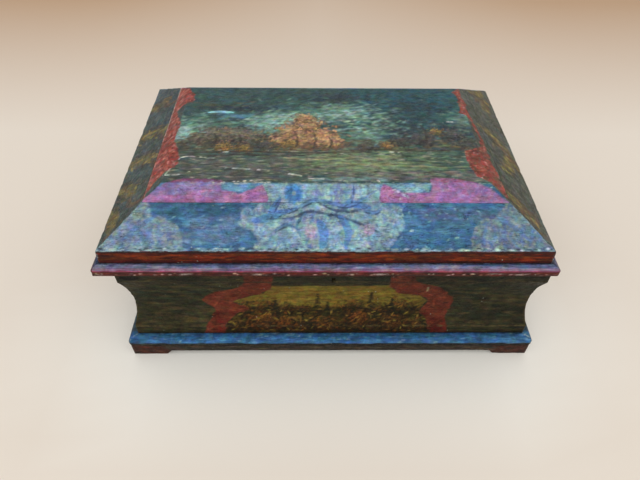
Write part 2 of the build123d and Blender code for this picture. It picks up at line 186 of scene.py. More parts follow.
def mesh_piece(name, points, faces):
    """A new mesh object from points in millimetres."""
    mesh = bpy.data.meshes.new(name)
    mesh.from_pydata((np.asarray(points) * MM).tolist(), [], faces)
    mesh.update()
    piece = bpy.data.objects.new(name, mesh)
    bpy.context.scene.collection.objects.link(piece)
    return piece


def points_of(piece):
    """The piece's points in millimetres."""
    flat = np.zeros(len(piece.data.vertices) * 3, np.float32)
    piece.data.vertices.foreach_get("co", flat)
    return flat.reshape(-1, 3).astype(float) / MM


def strip(name, side, outer, inner, overhang, corner_radius, centre_x, feet=False):
    """A mitred strip: its section is the outer line joined to the inner one at both ends."""
    half_run, reach = side_size(side)
    section = np.concatenate([outer, resampled(inner, len(outer))[::-1]])
    around, half = len(section), len(outer)
    count = ceil(2 * (half_run + overhang) / STEP) + 1
    t = np.linspace(-1, 1, count)[:, None]
    inset, height = section[:, 0][None, :], section[:, 1][None, :]
    x = t * (half_run - inset)
    y = inset - reach + 0 * t
    z = height + 0 * t
    x, y = clipped(x, y, half_run + overhang, reach + overhang, corner_radius)
    if feet:
        foot_end = half_run + overhang - FOOT_LENGTH
        lift = np.clip((foot_end - np.abs(x)) / FOOT_RAMP, 0, 1) * APRON_LIFT
        z = lift + z * (1 - lift / BASE_BOTTOM)
    points = np.stack([x.ravel(), y.ravel(), z.ravel()], axis=1)
    faces = []
    for i in range(count - 1):
        a = i * around
        faces += [
            (a + j, a + around + j, a + around + (j + 1) % around, a + (j + 1) % around)
            for j in range(around)
        ]
    last = (count - 1) * around
    for j in range(half - 1):
        k = around - 1 - j
        faces.append((j, j + 1, k - 1, k))
        faces.append((last + k, last + k - 1, last + j + 1, last + j))
    return mesh_piece(name, turned(points, SIDES[side], centre_x), faces)


def board(name, xs, ys, top, bottom, wall_insets, half, corner_radius, centre_x):
    """A board: a top grid, a bottom grid, and rings of (inset, height) between their edges."""
    nx, ny = len(xs), len(ys)
    gx, gy = np.meshgrid(xs, ys)
    gx, gy = gx.ravel(), gy.ravel()
    grid = [(i + j * nx, i + 1 + j * nx, i + 1 + (j + 1) * nx, i + (j + 1) * nx)
            for j in range(ny - 1) for i in range(nx - 1)]
    loop = list(range(nx))
    loop += [nx - 1 + j * nx for j in range(1, ny)]
    loop += [i + (ny - 1) * nx for i in range(nx - 2, -1, -1)]
    loop += [j * nx for j in range(ny - 2, 0, -1)]
    size = nx * ny
    edge_x, edge_y = gx[loop], gy[loop]
    top_x, top_y = clipped(gx, gy, xs[-1], ys[-1], corner_radius)
    points = [np.stack([top_x, top_y, top(gx, gy)], axis=1)]
    for inset, height in wall_insets:
        x, y = clipped(
            edge_x * (half[0] - inset) / xs[-1],
            edge_y * (half[1] - inset) / ys[-1],
            half[0] - inset,
            half[1] - inset,
            max(corner_radius - inset, 0.4),
        )
        points.append(np.stack([x, y, np.full(len(x), height)], axis=1))
    points.append(np.stack([top_x, top_y, bottom(gx, gy)], axis=1))
    faces = list(grid)
    starts = [size + r * len(loop) for r in range(len(wall_insets))]
    rings = [loop, *(list(range(start, start + len(loop))) for start in starts)]
    below = size + len(wall_insets) * len(loop)
    rings.append([below + i for i in loop])
    for upper, lower in zip(rings, rings[1:]):
        for i in range(len(loop)):
            k = (i + 1) % len(loop)
            faces.append((upper[k], upper[i], lower[i], lower[k]))
    faces += [tuple(below + i for i in reversed(face)) for face in grid]
    points = np.concatenate(points)
    points[:, 0] += centre_x
    return mesh_piece(name, points, faces)


def cutter(low, high):
    """A block to cut with, a little oversize."""
    low, high = np.array(low) - 0.03, np.array(high) + 0.03
    corners = [[(low, high)[i][0], (low, high)[j][1], (low, high)[k][2]]
               for i in (0, 1) for j in (0, 1) for k in (0, 1)]
    faces = [(0, 1, 3, 2), (4, 6, 7, 5), (0, 4, 5, 1), (2, 3, 7, 6), (0, 2, 6, 4), (1, 5, 7, 3)]
    return mesh_piece("cutter", corners, faces)


def round_cutter(centre, axis, radius, low, high):
    """A cylinder to cut with, along x (0) or y (1)."""
    count = 32
    across = [i for i in range(3) if i != axis]
    points = np.zeros((2 * count, 3))
    for row, end in enumerate((low, high)):
        for i in range(count):
            p = points[row * count + i]
            p[axis] = end
            p[across[0]] = centre[0] + radius * cos(2 * pi * i / count)
            p[across[1]] = centre[1] + radius * sin(2 * pi * i / count)
    faces = [(i, (i + 1) % count, count + (i + 1) % count, count + i) for i in range(count)]
    faces += [tuple(range(count))[::-1], tuple(range(count, 2 * count))]
    return mesh_piece("cutter", points, faces)


def carve(piece, cutters):
    """Cuts the shapes out of the piece."""
    for tool in cutters:
        cut = piece.modifiers.new("cut", "BOOLEAN")
        cut.object, cut.operation, cut.solver = tool, "DIFFERENCE", "EXACT"
    depsgraph = bpy.context.evaluated_depsgraph_get()
    mesh = bpy.data.meshes.new_from_object(piece.evaluated_get(depsgraph))
    piece.modifiers.clear()
    piece.data = mesh
    for tool in cutters:
        bpy.data.objects.remove(tool)


def side_places(piece, side, centre_x):
    """Along, inset and height of each point on its own side."""
    p = points_of(piece)
    _, reach = side_size(side)
    c, s = cos(radians(SIDES[side])), sin(radians(SIDES[side]))
    x, y = p[:, 0] - centre_x, p[:, 1]
    return c * x + s * y, -s * x + c * y + reach, p[:, 2]


def wear_in(piece, amount, keep):
    """Moves points a little inwards by amounts in millimetres, but not those to keep."""
    mesh = piece.data
    normals = np.zeros(len(mesh.vertices) * 3, np.float32)
    mesh.vertex_normals.foreach_get("vector", normals)
    points = points_of(piece)
    points -= normals.reshape(-1, 3) * np.where(keep, 0, np.clip(amount, 0, 1.2))[:, None]
    mesh.vertices.foreach_set("co", (points * MM).astype(np.float32).ravel())
    mesh.update()


def give(piece, name, values):
    """Stores one number, or one colour, for each point of the piece."""
    values = np.asarray(values, np.float32)
    if values.ndim == 1:
        piece.data.attributes.new(name, "FLOAT", "POINT").data.foreach_set("value", values)
        return
    if name == "place":
        piece.data.attributes.new(name, "FLOAT_VECTOR", "POINT").data.foreach_set("vector", values.ravel())
        return
    colours = np.concatenate([values, np.ones((len(values), 1), np.float32)], axis=1)
    piece.data.attributes.new(name, "FLOAT_COLOR", "POINT").data.foreach_set("color", colours.ravel())


# Paint

def tone(red, green, blue):
    """A colour as it looks, turned into light."""
    c = np.array([red, green, blue]) / 255
    return np.where(c <= 0.04045, c / 12.92, ((c + 0.055) / 1.055) ** 2.4)


def tones(*colours):
    """Several colours as they look, turned into light."""
    return [tone(*c) for c in colours]


def spline(a, b, c, d, t):
    """The smooth curve from b to c, between a and d, at t from 0 to 1."""
    square = (2 * a - 5 * b + 4 * c - d) * t ** 2
    cube = (3 * b - a - 3 * c + d) * t ** 3
    return 0.5 * (2 * b + (c - a) * t + square + cube)


def curve_through(points):
    """A smooth line through given points, about two to the millimetre."""
    p = np.array([points[0], *points, points[-1]], float)
    count = 8 + ceil(2 * np.linalg.norm(np.diff(p, axis=0), axis=1).sum())
    t = np.linspace(0, len(points) - 1 - 1e-6, count)
    i = t.astype(int)
    f = (t - i)[:, None]
    return spline(*(p[i + k] for k in range(4)), f)


def flowing(outline):
    """A closed outline with its corners drawn as a brush would, a little rounded."""
    count = 5
    p = np.array(outline, float)
    a, b, c, d = (np.roll(p, k, axis=0) for k in (1, 0, -1, -2))
    smooth = []
    for t in np.arange(count) / count:
        smooth.append(0.55 * spline(a, b, c, d, t) + 0.45 * (b + (c - b) * t))
    return [tuple(q) for q in np.stack(smooth, axis=1).reshape(-1, 2)]


def inside(x, y, outline):
    """Signed distance to an outline, above 0 inside it."""
    nearest = np.full(len(x), 1e9)
    within = np.zeros(len(x), bool)
    for (ax, ay), (bx, by) in zip(outline, outline[1:] + outline[:1]):
        dx, dy = bx - ax, by - ay
        t = np.clip(((x - ax) * dx + (y - ay) * dy) / (dx * dx + dy * dy), 0, 1)
        nearest = np.minimum(nearest, np.hypot(x - ax - t * dx, y - ay - t * dy))
        crosses = (ay > y) != (by > y)
        at = ax + (y - ay) * dx / (dy if dy else 1e-9)
        within ^= crosses & (x < at)
    return np.where(within, nearest, -nearest)


def frayed(depth, x, y, size=1.0):
    """The same depths with the edge made uneven, as a brush leaves it."""
    places = np.stack([x, y, 0 * x], axis=1)
    return depth + size * (1.1 * noise(places, 5.0, 7) + 0.8 * noise(places, 2.0, 8))


class Canvas:
    """Paint laid in strokes on the points of a piece, on two axes along its surface."""

    def __init__(self, x, y, ground, seed):
        self.x, self.y = x, y
        self.order = np.argsort(x)
        self.sorted_x = x[self.order]
        self.colour = np.tile(ground, (len(x), 1))
        self.random = np.random.default_rng(seed)

    def near(self, x, y, reach_x, reach_y):
        """The points in a box about a place."""
        first, last = np.searchsorted(self.sorted_x, (x - reach_x, x + reach_x))
        found = self.order[first:last]
        return found[np.abs(self.y[found] - y) < reach_y]

    def daub(self, colour, x, y, length, width, turn=0.0, weight=1.0, soft=0.5):
        """One touch of the brush."""
        reach = max(length, width) / 2
        near = self.near(x, y, reach, reach)
        dx, dy = self.x[near] - x, self.y[near] - y
        a = (dx * cos(turn) + dy * sin(turn)) * 2 / length
        b = (dy * cos(turn) - dx * sin(turn)) * 2 / width
        alpha = weight * np.clip((1 - np.hypot(a, b)) / soft, 0, 1)
        self.colour[near] += alpha[:, None] * (colour - self.colour[near])

    def touches(self, places, colours, length, width, turn, swing, weight, soft=0.5):
        """One touch at each place, each a little different."""
        draw = self.random
        for x, y in places:
            colour = np.array(colours[draw.integers(len(colours))]) * draw.uniform(0.8, 1.2)
            self.daub(colour, x, y, length * draw.uniform(0.6, 1.4), width * draw.uniform(0.6, 1.4),
                      turn + draw.normal(0, swing), weight * draw.uniform(0.5, 1), soft)

    def scatter(self, colours, count, centre, spread, length, width, turn=0.0, swing=0.3, weight=0.7,
                soft=0.5):
        """Many touches, thickest about one place."""
        places = centre + self.random.normal(0, 0.5, (count, 2)) * spread
        self.touches(places, colours, length, width, turn, swing, weight, soft)

    def spread(self, colours, count, low, high, length, width, turn=0.0, swing=0.06, weight=0.6, soft=0.5):
        """Touches all over a rectangle, with colours as they look."""
        places = self.random.uniform(low, high, (count, 2))
        self.touches(places, tones(*colours), length, width, turn, swing, weight, soft)

    def line(self, colour, points, width, weight=1.0, taper=0.7, gaps=False):
        """A stroke through points, thinner towards its ends, and broken if it has gaps."""
        path = curve_through(points)
        low, high = path.min(0) - width, path.max(0) + width
        near = self.near(*(low + high) / 2, *(high - low) / 2)
        if not len(near):
            return
        far = np.hypot(self.x[near][:, None] - path[:, 0], self.y[near][:, None] - path[:, 1])
        at = far.argmin(1)
        along = np.abs(2 * at / (len(path) - 1) - 1)
        half = width / 2 * (1 - taper * along ** 2)
        alpha = weight * np.clip((half - far.min(1)) / 0.6 + 0.5, 0, 1)
        if gaps:
            places = np.stack([self.x[near], self.y[near], 0 * at], axis=1)
            alpha *= np.clip(0.45 + 2.5 * noise(places, 2.2, 6), 0, 1)
        self.colour[near] += alpha[:, None] * (colour - self.colour[near])

    def within(self, depth, other):
        """Takes another canvas's paint where the depth inside an outline is above 0."""
        self.colour += np.clip(depth / 0.8 + 0.5, 0, 1)[:, None] * (other.colour - self.colour)


# Material nodes

class Paintbox:
    """Builds one material out of nodes."""

    def __init__(self, name):
        self.material = bpy.data.materials.new(name)
        self.material.use_nodes = True
        self.tree = self.material.node_tree
        self.shader = self.tree.nodes["Principled BSDF"]

    def node(self, kind, inputs=(), **settings):
        """A node with its settings and its inputs, each a socket or a value."""
        made = self.tree.nodes.new(kind)
        for key, value in settings.items():
            setattr(made, key, value)
        for key, value in dict(inputs).items():
            self.put(made.inputs[key], value)
        return made

    def put(self, socket, value):
        """Links or sets one socket."""
        if isinstance(value, bpy.types.NodeSocket):
            self.tree.links.new(value, socket)
        elif isinstance(value, (tuple, list, np.ndarray)) and len(value) == 3 and socket.type == "RGBA":
            socket.default_value = (*value, 1)
        else:
            socket.default_value = value

    def number(self, name):
        """A number stored on the mesh."""
        return self.node("ShaderNodeAttribute", attribute_name=name).outputs["Fac"]

    def places(self, stretch=(1, 1, 1)):
        """Millimetres along, across and up, stretched for strokes."""
        at = self.node("ShaderNodeAttribute", attribute_name="place").outputs["Vector"]
        return self.node("ShaderNodeMapping", {"Vector": at, "Scale": stretch}).outputs["Vector"]

    def noise(self, places, scale, detail=4.0, rough=0.55, distortion=0.0):
        """Noise about 0.5."""
        inputs = {"Vector": places, "Scale": scale, "Detail": detail, "Roughness": rough,
                  "Distortion": distortion}
        return self.node("ShaderNodeTexNoise", inputs).outputs["Fac"]

    def math(self, operation, a, b=0.0):
        return self.node("ShaderNodeMath", {0: a, 1: b}, operation=operation).outputs[0]

    def ramp(self, value, low, high, start=0.0, end=1.0):
        """The value's range low to high, taken smoothly to start to end."""
        return self.node("ShaderNodeMapRange", {
            "Value": value, "From Min": low, "From Max": high, "To Min": start, "To Max": end,
        }, interpolation_type="SMOOTHSTEP").outputs["Result"]

    def mix(self, amount, a, b, blend="MIX"):
        """Colour a turned into colour b."""
        inputs = {0: amount, 6: a, 7: b}
        return self.node("ShaderNodeMix", inputs, data_type="RGBA", blend_type=blend).outputs[2]

    def bump(self, height, distance, strength=1.0):
        """Roughens the shader's normals by a height, over a distance in metres."""
        made = self.node("ShaderNodeBump", {"Height": height, "Strength": strength, "Distance": distance})
        self.put(self.shader.inputs["Normal"], made.outputs["Normal"])


BARE_WOOD = (96, 72, 48)


def brush_marks(box, streaks, dabs, blotches, grain):
    """A tint about white that varies as brush marks do, in lightness and a little in hue."""
    light = box.math("ADD", box.ramp(streaks, 0.36, 0.64, -0.12, 0.12),
                     box.ramp(dabs, 0.36, 0.64, -0.15, 0.15))
    light = box.math("ADD", light, box.ramp(grain, 0.34, 0.66, 0.89, 1.11))
    light = box.math("MULTIPLY", light, box.ramp(blotches, 0.35, 0.65, 0.8, 1.2))
    clouds = box.node("ShaderNodeTexNoise", {
        "Vector": box.places((0.7, 1, 1)), "Scale": 0.24, "Detail": 4.0, "Roughness": 0.6,
    }).outputs["Color"]
    hue = box.node("ShaderNodeSeparateColor", {0: clouds}).outputs
    shifts = (box.ramp(hue[i], 0.36, 0.64, 0.86, 1.14) for i in range(3))
    parts = {i: box.math("MULTIPLY", light, shift) for i, shift in enumerate(shifts)}
    return box.node("ShaderNodeCombineColor", parts).outputs[0]


def crazing(box, at):
    """1 on the fine cracks of old varnish, which come and go in patches."""
    fold = box.noise(box.places((0.07, 0.28, 0.28)), 1.0, 4.0, 0.55, 1.6)
    line = box.ramp(box.math("ABSOLUTE", box.math("SUBTRACT", fold, 0.5)), 0.0, 0.009, 1.0, 0.0)
    patch = box.ramp(box.noise(at, 0.045, 3.0), 0.45, 0.6, 0.1, 0.9)
    return box.math("MULTIPLY", line, patch)


def pale_flecks(box, grain):
    """Small scattered spots where the paint is chipped to its ground."""
    at = box.places((0.7, 1, 1))
    cells = box.node("ShaderNodeTexVoronoi", {"Vector": at, "Scale": 0.55}, feature="F1")
    chance = box.node("ShaderNodeSeparateColor", {0: cells.outputs["Color"]}).outputs[0]
    far = box.math("ADD", cells.outputs["Distance"], box.ramp(grain, 0.3, 0.7, 0.16, -0.16))
    chosen = box.math("GREATER_THAN", chance, 0.985)
    return box.math("MULTIPLY", box.ramp(far, 0.06, 0.18, 0.8, 0.0), chosen)


def paint_material(name, wear, flats=(), shine=0.2, relief=1.0):
    """Old oil paint and varnish over wood. wear is the colour where it is rubbed, and shine is how glossy
    the varnish is. flats are (mask, colour, other colour) that sharpen the edges of what is painted."""
    box = Paintbox(name)
    at = box.places()
    streaks = box.noise(box.places((0.08, 0.9, 0.9)), 1.3, 5.0, 0.6, 0.5)
    dabs = box.noise(box.places((0.38, 0.95, 0.95)), 0.75, 4.0, 0.62, 0.9)
    blotches = box.noise(at, 0.13, 4.0, 0.55, 0.5)
    grain = box.noise(box.places((0.6, 1, 1)), 1.7, 3.0, 0.7)
    ragged = box.math("MULTIPLY", box.math("SUBTRACT", box.noise(at, 0.45, 5.0, 0.65), 0.5), 4.4)

    colour = box.node("ShaderNodeAttribute", attribute_name="paint").outputs["Color"]
    for mask, first, second in flats:
        flat = box.mix(box.ramp(dabs, 0.42, 0.58), tone(*first), tone(*second))
        edge = box.math("ADD", box.number(mask), ragged)
        flat = box.mix(box.ramp(edge, -0.1, 1.6, 0.45, 0.0), flat, tone(34, 26, 22))
        colour = box.mix(box.ramp(edge, -0.4, 0.5, 0.0, 0.22), colour, flat)
    colour = box.mix(1.0, colour, brush_marks(box, streaks, dabs, blotches, grain), "MULTIPLY")

    crack = crazing(box, at)
    dark_line = box.math("MULTIPLY", crack, box.ramp(grain, 0.4, 0.6, 0.3, 0.9))
    colour = box.mix(dark_line, colour, tone(26, 28, 28))
    broken = box.ramp(box.noise(box.places((0.35, 1, 1)), 0.7, 5.0, 0.75), 0.45, 0.57, 0.0, 1.0)
    colour = box.mix(box.math("MULTIPLY", box.number("rub"), broken), colour, tone(*wear))
    spot = box.math("MULTIPLY", pale_flecks(box, grain), box.number("coat"))
    colour = box.mix(spot, colour, tone(176, 184, 172))

    rings = box.noise(box.places((0.035, 1.0, 1.0)), 0.8, 6.0, 0.65, 1.2)
    wood = box.mix(box.ramp(rings, 0.3, 0.7), tone(*BARE_WOOD), tone(*(0.62 * c for c in BARE_WOOD)))
    painted = box.ramp(box.math("ADD", box.number("coat"), box.math("MULTIPLY", ragged, 0.08)), 0.35, 0.65)
    colour = box.mix(painted, wood, colour)
    red = box.mix(box.ramp(blotches, 0.4, 0.6), tone(112, 48, 36), tone(96, 40, 31))
    lined = box.math("MULTIPLY", box.number("lining"), box.ramp(streaks, 0.34, 0.5, 0.5, 0.95))
    colour = box.mix(lined, colour, red)
    # Darkening by a number stored on the mesh: painted shade in creases and under overhangs, with some
    # grime
    shade_and_grime_amount = box.math("MULTIPLY", box.number("shade_and_grime"), box.ramp(dabs, 0.36, 0.64, 1.0, 0.6))
    box.put(box.shader.inputs["Base Color"], box.mix(shade_and_grime_amount, colour, tone(16, 14, 12)))

    box.shader.inputs["Specular IOR Level"].default_value = shine
    box.put(box.shader.inputs["Roughness"], box.ramp(box.noise(at, 0.3, 4.0), 0.35, 0.65, 0.36, 0.56))
    height = box.math("ADD", streaks, box.math("MULTIPLY", dabs, 0.9))
    height = box.math("ADD", height, box.math("MULTIPLY", grain, 0.3))
    height = box.math("SUBTRACT", height, box.math("MULTIPLY", crack, 0.6))
    box.bump(height, 0.0005 * relief)
    return box.material


def metal_material(name, colour, other, gloss):
    """Dull old metal with darker stains and fine scratches."""
    box = Paintbox(name)
    at = box.node("ShaderNodeTexCoord").outputs["Object"]
    stain = box.noise(at, 260.0, 5.0, 0.65)
    stretched = box.node("ShaderNodeMapping", {"Vector": at, "Scale": (60, 900, 900)}).outputs[0]
    scratch = box.noise(stretched, 1.0)
    stained = box.mix(box.ramp(stain, 0.4, 0.65), tone(*colour), tone(*other))
    box.put(box.shader.inputs["Base Color"], stained)
    box.shader.inputs["Metallic"].default_value = 1.0
    box.put(box.shader.inputs["Roughness"], box.ramp(stain, 0.3, 0.7, gloss, gloss + 0.25))
    box.bump(box.math("ADD", scratch, stain), 0.0001, 0.5)
    return box.material


def covered_material(name):
    """Iron that has been painted over with the walls."""
    box = Paintbox(name)
    at = box.node("ShaderNodeTexCoord").outputs["Object"]
    stain = box.noise(at, 900.0, 4.0, 0.6)
    stained = box.mix(box.ramp(stain, 0.4, 0.6), tone(56, 52, 36), tone(36, 34, 24))
    box.put(box.shader.inputs["Base Color"], stained)
    box.put(box.shader.inputs["Roughness"], box.ramp(stain, 0.3, 0.7, 0.4, 0.6))
    box.shader.inputs["Specular IOR Level"].default_value = 0.22
    box.bump(stain, 0.0002)
    return box.material


def finish_piece(piece, side, centre_x, node, body, material, arrises, coat, lining, shade_and_grime, chip=0.35,
                 relief=1.0):
    """Wears a piece in, stores what its material reads, and puts it on its body."""
    along, inset, height = side_places(piece, side, centre_x)
    half_run, _ = side_size(side)
    points = points_of(piece)
    near = np.full(len(points), FAR_OFF)
    for a_inset, a_height in arrises:
        near = np.minimum(near, np.hypot(inset - a_inset, height - a_height))
    hip = np.abs(half_run - inset - np.abs(along))
    edge = np.minimum(near, hip)
    dents = np.clip(noise(points, 7.0, 1) - 0.25, 0, 1) * np.clip(1 - edge / 1.6, 0, 1) * 2.0
    small = np.clip(noise(points, 2.2, 2) - 0.15, 0, 1) * np.clip(1 - edge / 0.9, 0, 1)
    sag = 0.05 + 0.05 * noise(points, 26.0, 3)
    stretched = np.stack([along / 8, inset, height], axis=1)
    ripple = 0.04 * (1 + noise(stretched, 1.8, 4))
    folds = 1 - np.abs(noise(np.stack([along / 3, inset, height], axis=1), 3.4, 5)) * 3
    ripple += 0.06 * relief * np.clip(folds, 0, 1) * np.clip(0.4 + noise(points, 30.0, 6), 0, 1)
    painted = coat(along, inset, height)
    amount = sag + ripple * painted + chip * (dents + small)
    wear_in(piece, amount, points[:, 2] < 0.05)
    give(piece, "place", np.stack([along, inset, height], axis=1))
    give(piece, "coat", painted)
    give(piece, "lining", lining(along, inset, height))
    # A number for painted shade in creases and under overhangs, with some grime
    give(piece, "shade_and_grime", shade_and_grime(along, inset, height))
    uneven = np.clip(0.55 + 1.6 * noise(points, 14.0, 8), 0.15, 1)
    give(piece, "rub", np.clip(1.15 - edge / 1.1, 0, 1) * uneven)
    piece.data.materials.clear()
    piece.data.materials.append(material)
    piece.data.shade_smooth()
    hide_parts(node)
    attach(piece, body)
    return along, inset, height


def near_line(value, place, width):
    """1 on a line and falling to 0 at that distance from it."""
    return np.clip(1 - np.abs(value - place) / width, 0, 1)


# Looks of the boards
BLUE, BLUE_DARK, BLUE_PALE = (60, 104, 144), (34, 76, 114), (104, 148, 180)
OLIVE, OLIVE_DARK = (44, 42, 26), (24, 28, 18)
LEAF_GROUND, LEAF_SHADE = (70, 80, 76), (52, 60, 50)
# The pink and lilac stand for the red border band's paint under the varnish's sheen, so on the front and
# back bevels they are partly painted sheen
PINK, LILAC, MAGENTA = (162, 110, 154), (116, 116, 162), (118, 62, 92)

looks = {
    "wall": paint_material("wall_paint", (84, 74, 46), [("ribbon", (92, 34, 22), (60, 24, 18))],
                           shine=0.1, relief=0.8),
    "base": paint_material("base_board_paint", (150, 172, 180), shine=0.12),
    "foot": paint_material("foot_rail_paint", (120, 92, 74), shine=0.1),
    "moulding": paint_material("lid_moulding_paint", (186, 172, 164), shine=0.15),
    "bevel": paint_material("lid_rail_paint", (158, 192, 198), relief=1.5),
    "top": paint_material("lid_panel_paint", (190, 196, 186), [
        ("red", (150, 66, 54), (112, 50, 42)), ("pink", PINK, LILAC),
        ("lens", (96, 144, 180), (126, 172, 186)),
    ], relief=1.3),
}


def always(value):
    """A rule that gives every point the same number."""
    return lambda along, inset, height: np.full(len(along), float(value))


def mirrored(outline):
    """The same outline on the other side of the middle, still going round the same way."""
    return [(-x, y) for x, y in reversed(outline)]


# Walls

LEFT_OUTER = [(-62.5, 96), (-62.4, 81.8), (-68.5, 72.5), (-88.3, 64.4), (-96.8, 56.3), (-91.4, 50.8),
              (-87.7, 44.1), (-94.7, 32.2), (-99.7, 16)]
LEFT_INNER = [(-83.6, 16), (-80.8, 30.8), (-71.9, 41), (-62.3, 45.7), (-74, 54.4), (-50.7, 64.4),
              (-43.9, 73.8), (-42.5, 96)]
RIGHT_INNER = [(41.4, 96), (41, 75), (48.5, 64), (63.8, 61.5), (70.8, 54.9), (66, 43.4), (70.9, 37.9),
               (76.7, 21.4), (77.5, 16)]
RIGHT_OUTER = [(91, 16), (90.1, 21.4), (86.2, 39.4), (90.6, 54.8), (83.9, 65.2), (73.8, 75), (58, 82),
               (56.6, 96)]
SCENE_TOP, SCENE_FOOT = 75.5, 17.0


def conifer(canvas, x, foot, height, colour):
    """A dark spired tree of short drooping strokes."""
    for level in np.linspace(0, 1, 12):
        for way in (-1, 1):
            reach = (1 - level) * height * canvas.random.uniform(0.1, 0.24) + 0.5
            tip = (x + way * reach, foot + height * (level - canvas.random.uniform(0.02, 0.12)))
            canvas.line(colour, [(x, foot + height * level), tip], 2.0, canvas.random.uniform(0.4, 0.85),
                        0.4)


def bush(canvas, x, y, size, colours, count):
    """A mass of leaves with soft edges, dark below and at its heart, lit from above."""
    dark = [np.array(c) * 0.35 for c in colours]
    light = [np.array(c) * 1.35 for c in colours]
    touch = max(1.6, size * 0.22)
    canvas.scatter(dark, count, (x, y - size * 0.2), (size, size * 0.7), touch * 1.4, touch, 0.4, 0.9, 0.8)
    canvas.scatter(colours, count, (x, y + size * 0.1), (size * 0.9, size * 0.6), touch * 1.2, touch * 0.6,
                   0.6, 1.2, 0.75)
    canvas.scatter(light, count // 3, (x - size * 0.15, y + size * 0.35), (size * 0.7, size * 0.35), touch,
                   touch * 0.5, 0.6, 1.2, 0.7)


def paint_view(view, wide):
    """Bushes and dark conifers under a yellow evening sky, as far as wide to both sides."""
    view.spread(((122, 104, 40), (88, 72, 28), (112, 94, 36)), 500, (-wide, 46), (wide, 78), 14, 1.7)
    view.spread(((70, 54, 20), (44, 38, 16), (90, 70, 26), (34, 32, 16)), 900, (-wide, 30), (wide, 48), 9,
                2.4, 0, 0.2)
    view.spread(((34, 28, 14), (22, 20, 12), (54, 40, 18), (40, 32, 16)), 1400, (-wide, SCENE_FOOT),
                (wide, 33), 9, 2.0, 0, 0.15, 0.8)
    dark, leaf, brown, gold = tone(28, 28, 16), tone(58, 54, 26), tone(84, 54, 24), tone(128, 94, 38)
    for x, size in ((-0.93, 7), (-0.78, 10), (-0.60, 13), (-0.40, 8), (-0.27, 7), (0.12, 8), (0.22, 12),
                    (0.40, 9), (0.62, 13), (0.80, 9), (0.94, 7)):
        view.line(dark, [(x * wide, 24), (x * wide + 0.8, 32), (x * wide, 44)], 1.8, 0.8, 0.3)
        bush(view, x * wide, 42 + size / 2, size, [leaf, brown, dark, gold * 0.6], 110)
    for x, tall in ((-0.50, 22), (-0.13, 30), (-0.04, 20), (0.34, 32), (0.53, 24)):
        conifer(view, x * wide, 33, tall, dark)
    for x, low_y in ((-0.86, 28), (-0.68, 26), (-0.52, 29), (-0.3, 26), (0.05, 27), (0.28, 28), (0.52, 26),
                     (0.8, 28)):
        bush(view, x * wide, low_y, 9, [0.7 * brown, 0.7 * leaf, 0.6 * gold, tone(84, 50, 22)], 80)
    for x in np.linspace(-0.95, 0.95, 15):
        view.line(gold, [(x * wide - 4, 34), (x * wide, 35.5 + 2 * sin(9 * x)), (x * wide + 5, 33.5)], 0.9,
                  0.5)
        view.line(dark, [(x * wide - 5, 30), (x * wide, 31.5), (x * wide + 6, 29.5)], 1.0, 0.7)
        view.line(0.6 * gold, [(x * wide - 3, 20), (x * wide, 21), (x * wide + 3, 20)], 0.9, 0.5)
    for x, low_y, size in ((-0.62, 34, 13), (-0.42, 32, 9), (0.24, 36, 11), (0.56, 33, 10), (-0.08, 30, 9)):
        bush(view, x * wide, low_y, size, [tone(122, 74, 28), tone(98, 60, 24), tone(52, 36, 16)], 130)
    view.colour *= np.where(view.y < 48, 0.72, 1.0)[:, None]
    view.spread(((18, 16, 10), (30, 24, 14)), 220, (-wide, SCENE_FOOT), (wide, 48), 7, 1.6, 0.2, 0.6, 0.85)
    view.spread(((136, 112, 48), (120, 84, 34)), 110, (-wide, SCENE_FOOT + 6), (wide, 52), 5, 1.2, 0.3, 0.7,
                0.8)


def paint_ribbon(cloth, half_run):
    """Red cloth, darker towards its foot."""
    cloth.spread(((128, 64, 44), (78, 34, 24), (106, 46, 30), (54, 28, 20)), 900, (-half_run, 38),
                 (half_run, RIM), 8, 2.6, 0, 0.6, 0.7)
    cloth.spread(((112, 26, 20), (80, 20, 16), (94, 30, 22), (56, 18, 14)), 600, (-half_run, 15),
                 (half_run, 42), 8, 2.6, 0, 0.6, 0.85)
    cloth.colour *= np.where(cloth.y < 45, 0.9, 0.96)[:, None]
    cloth.spread(((40, 24, 18), (128, 68, 46)), 400, (-half_run, 15), (half_run, RIM), 5, 1.5, 0, 0.8, 0.8)


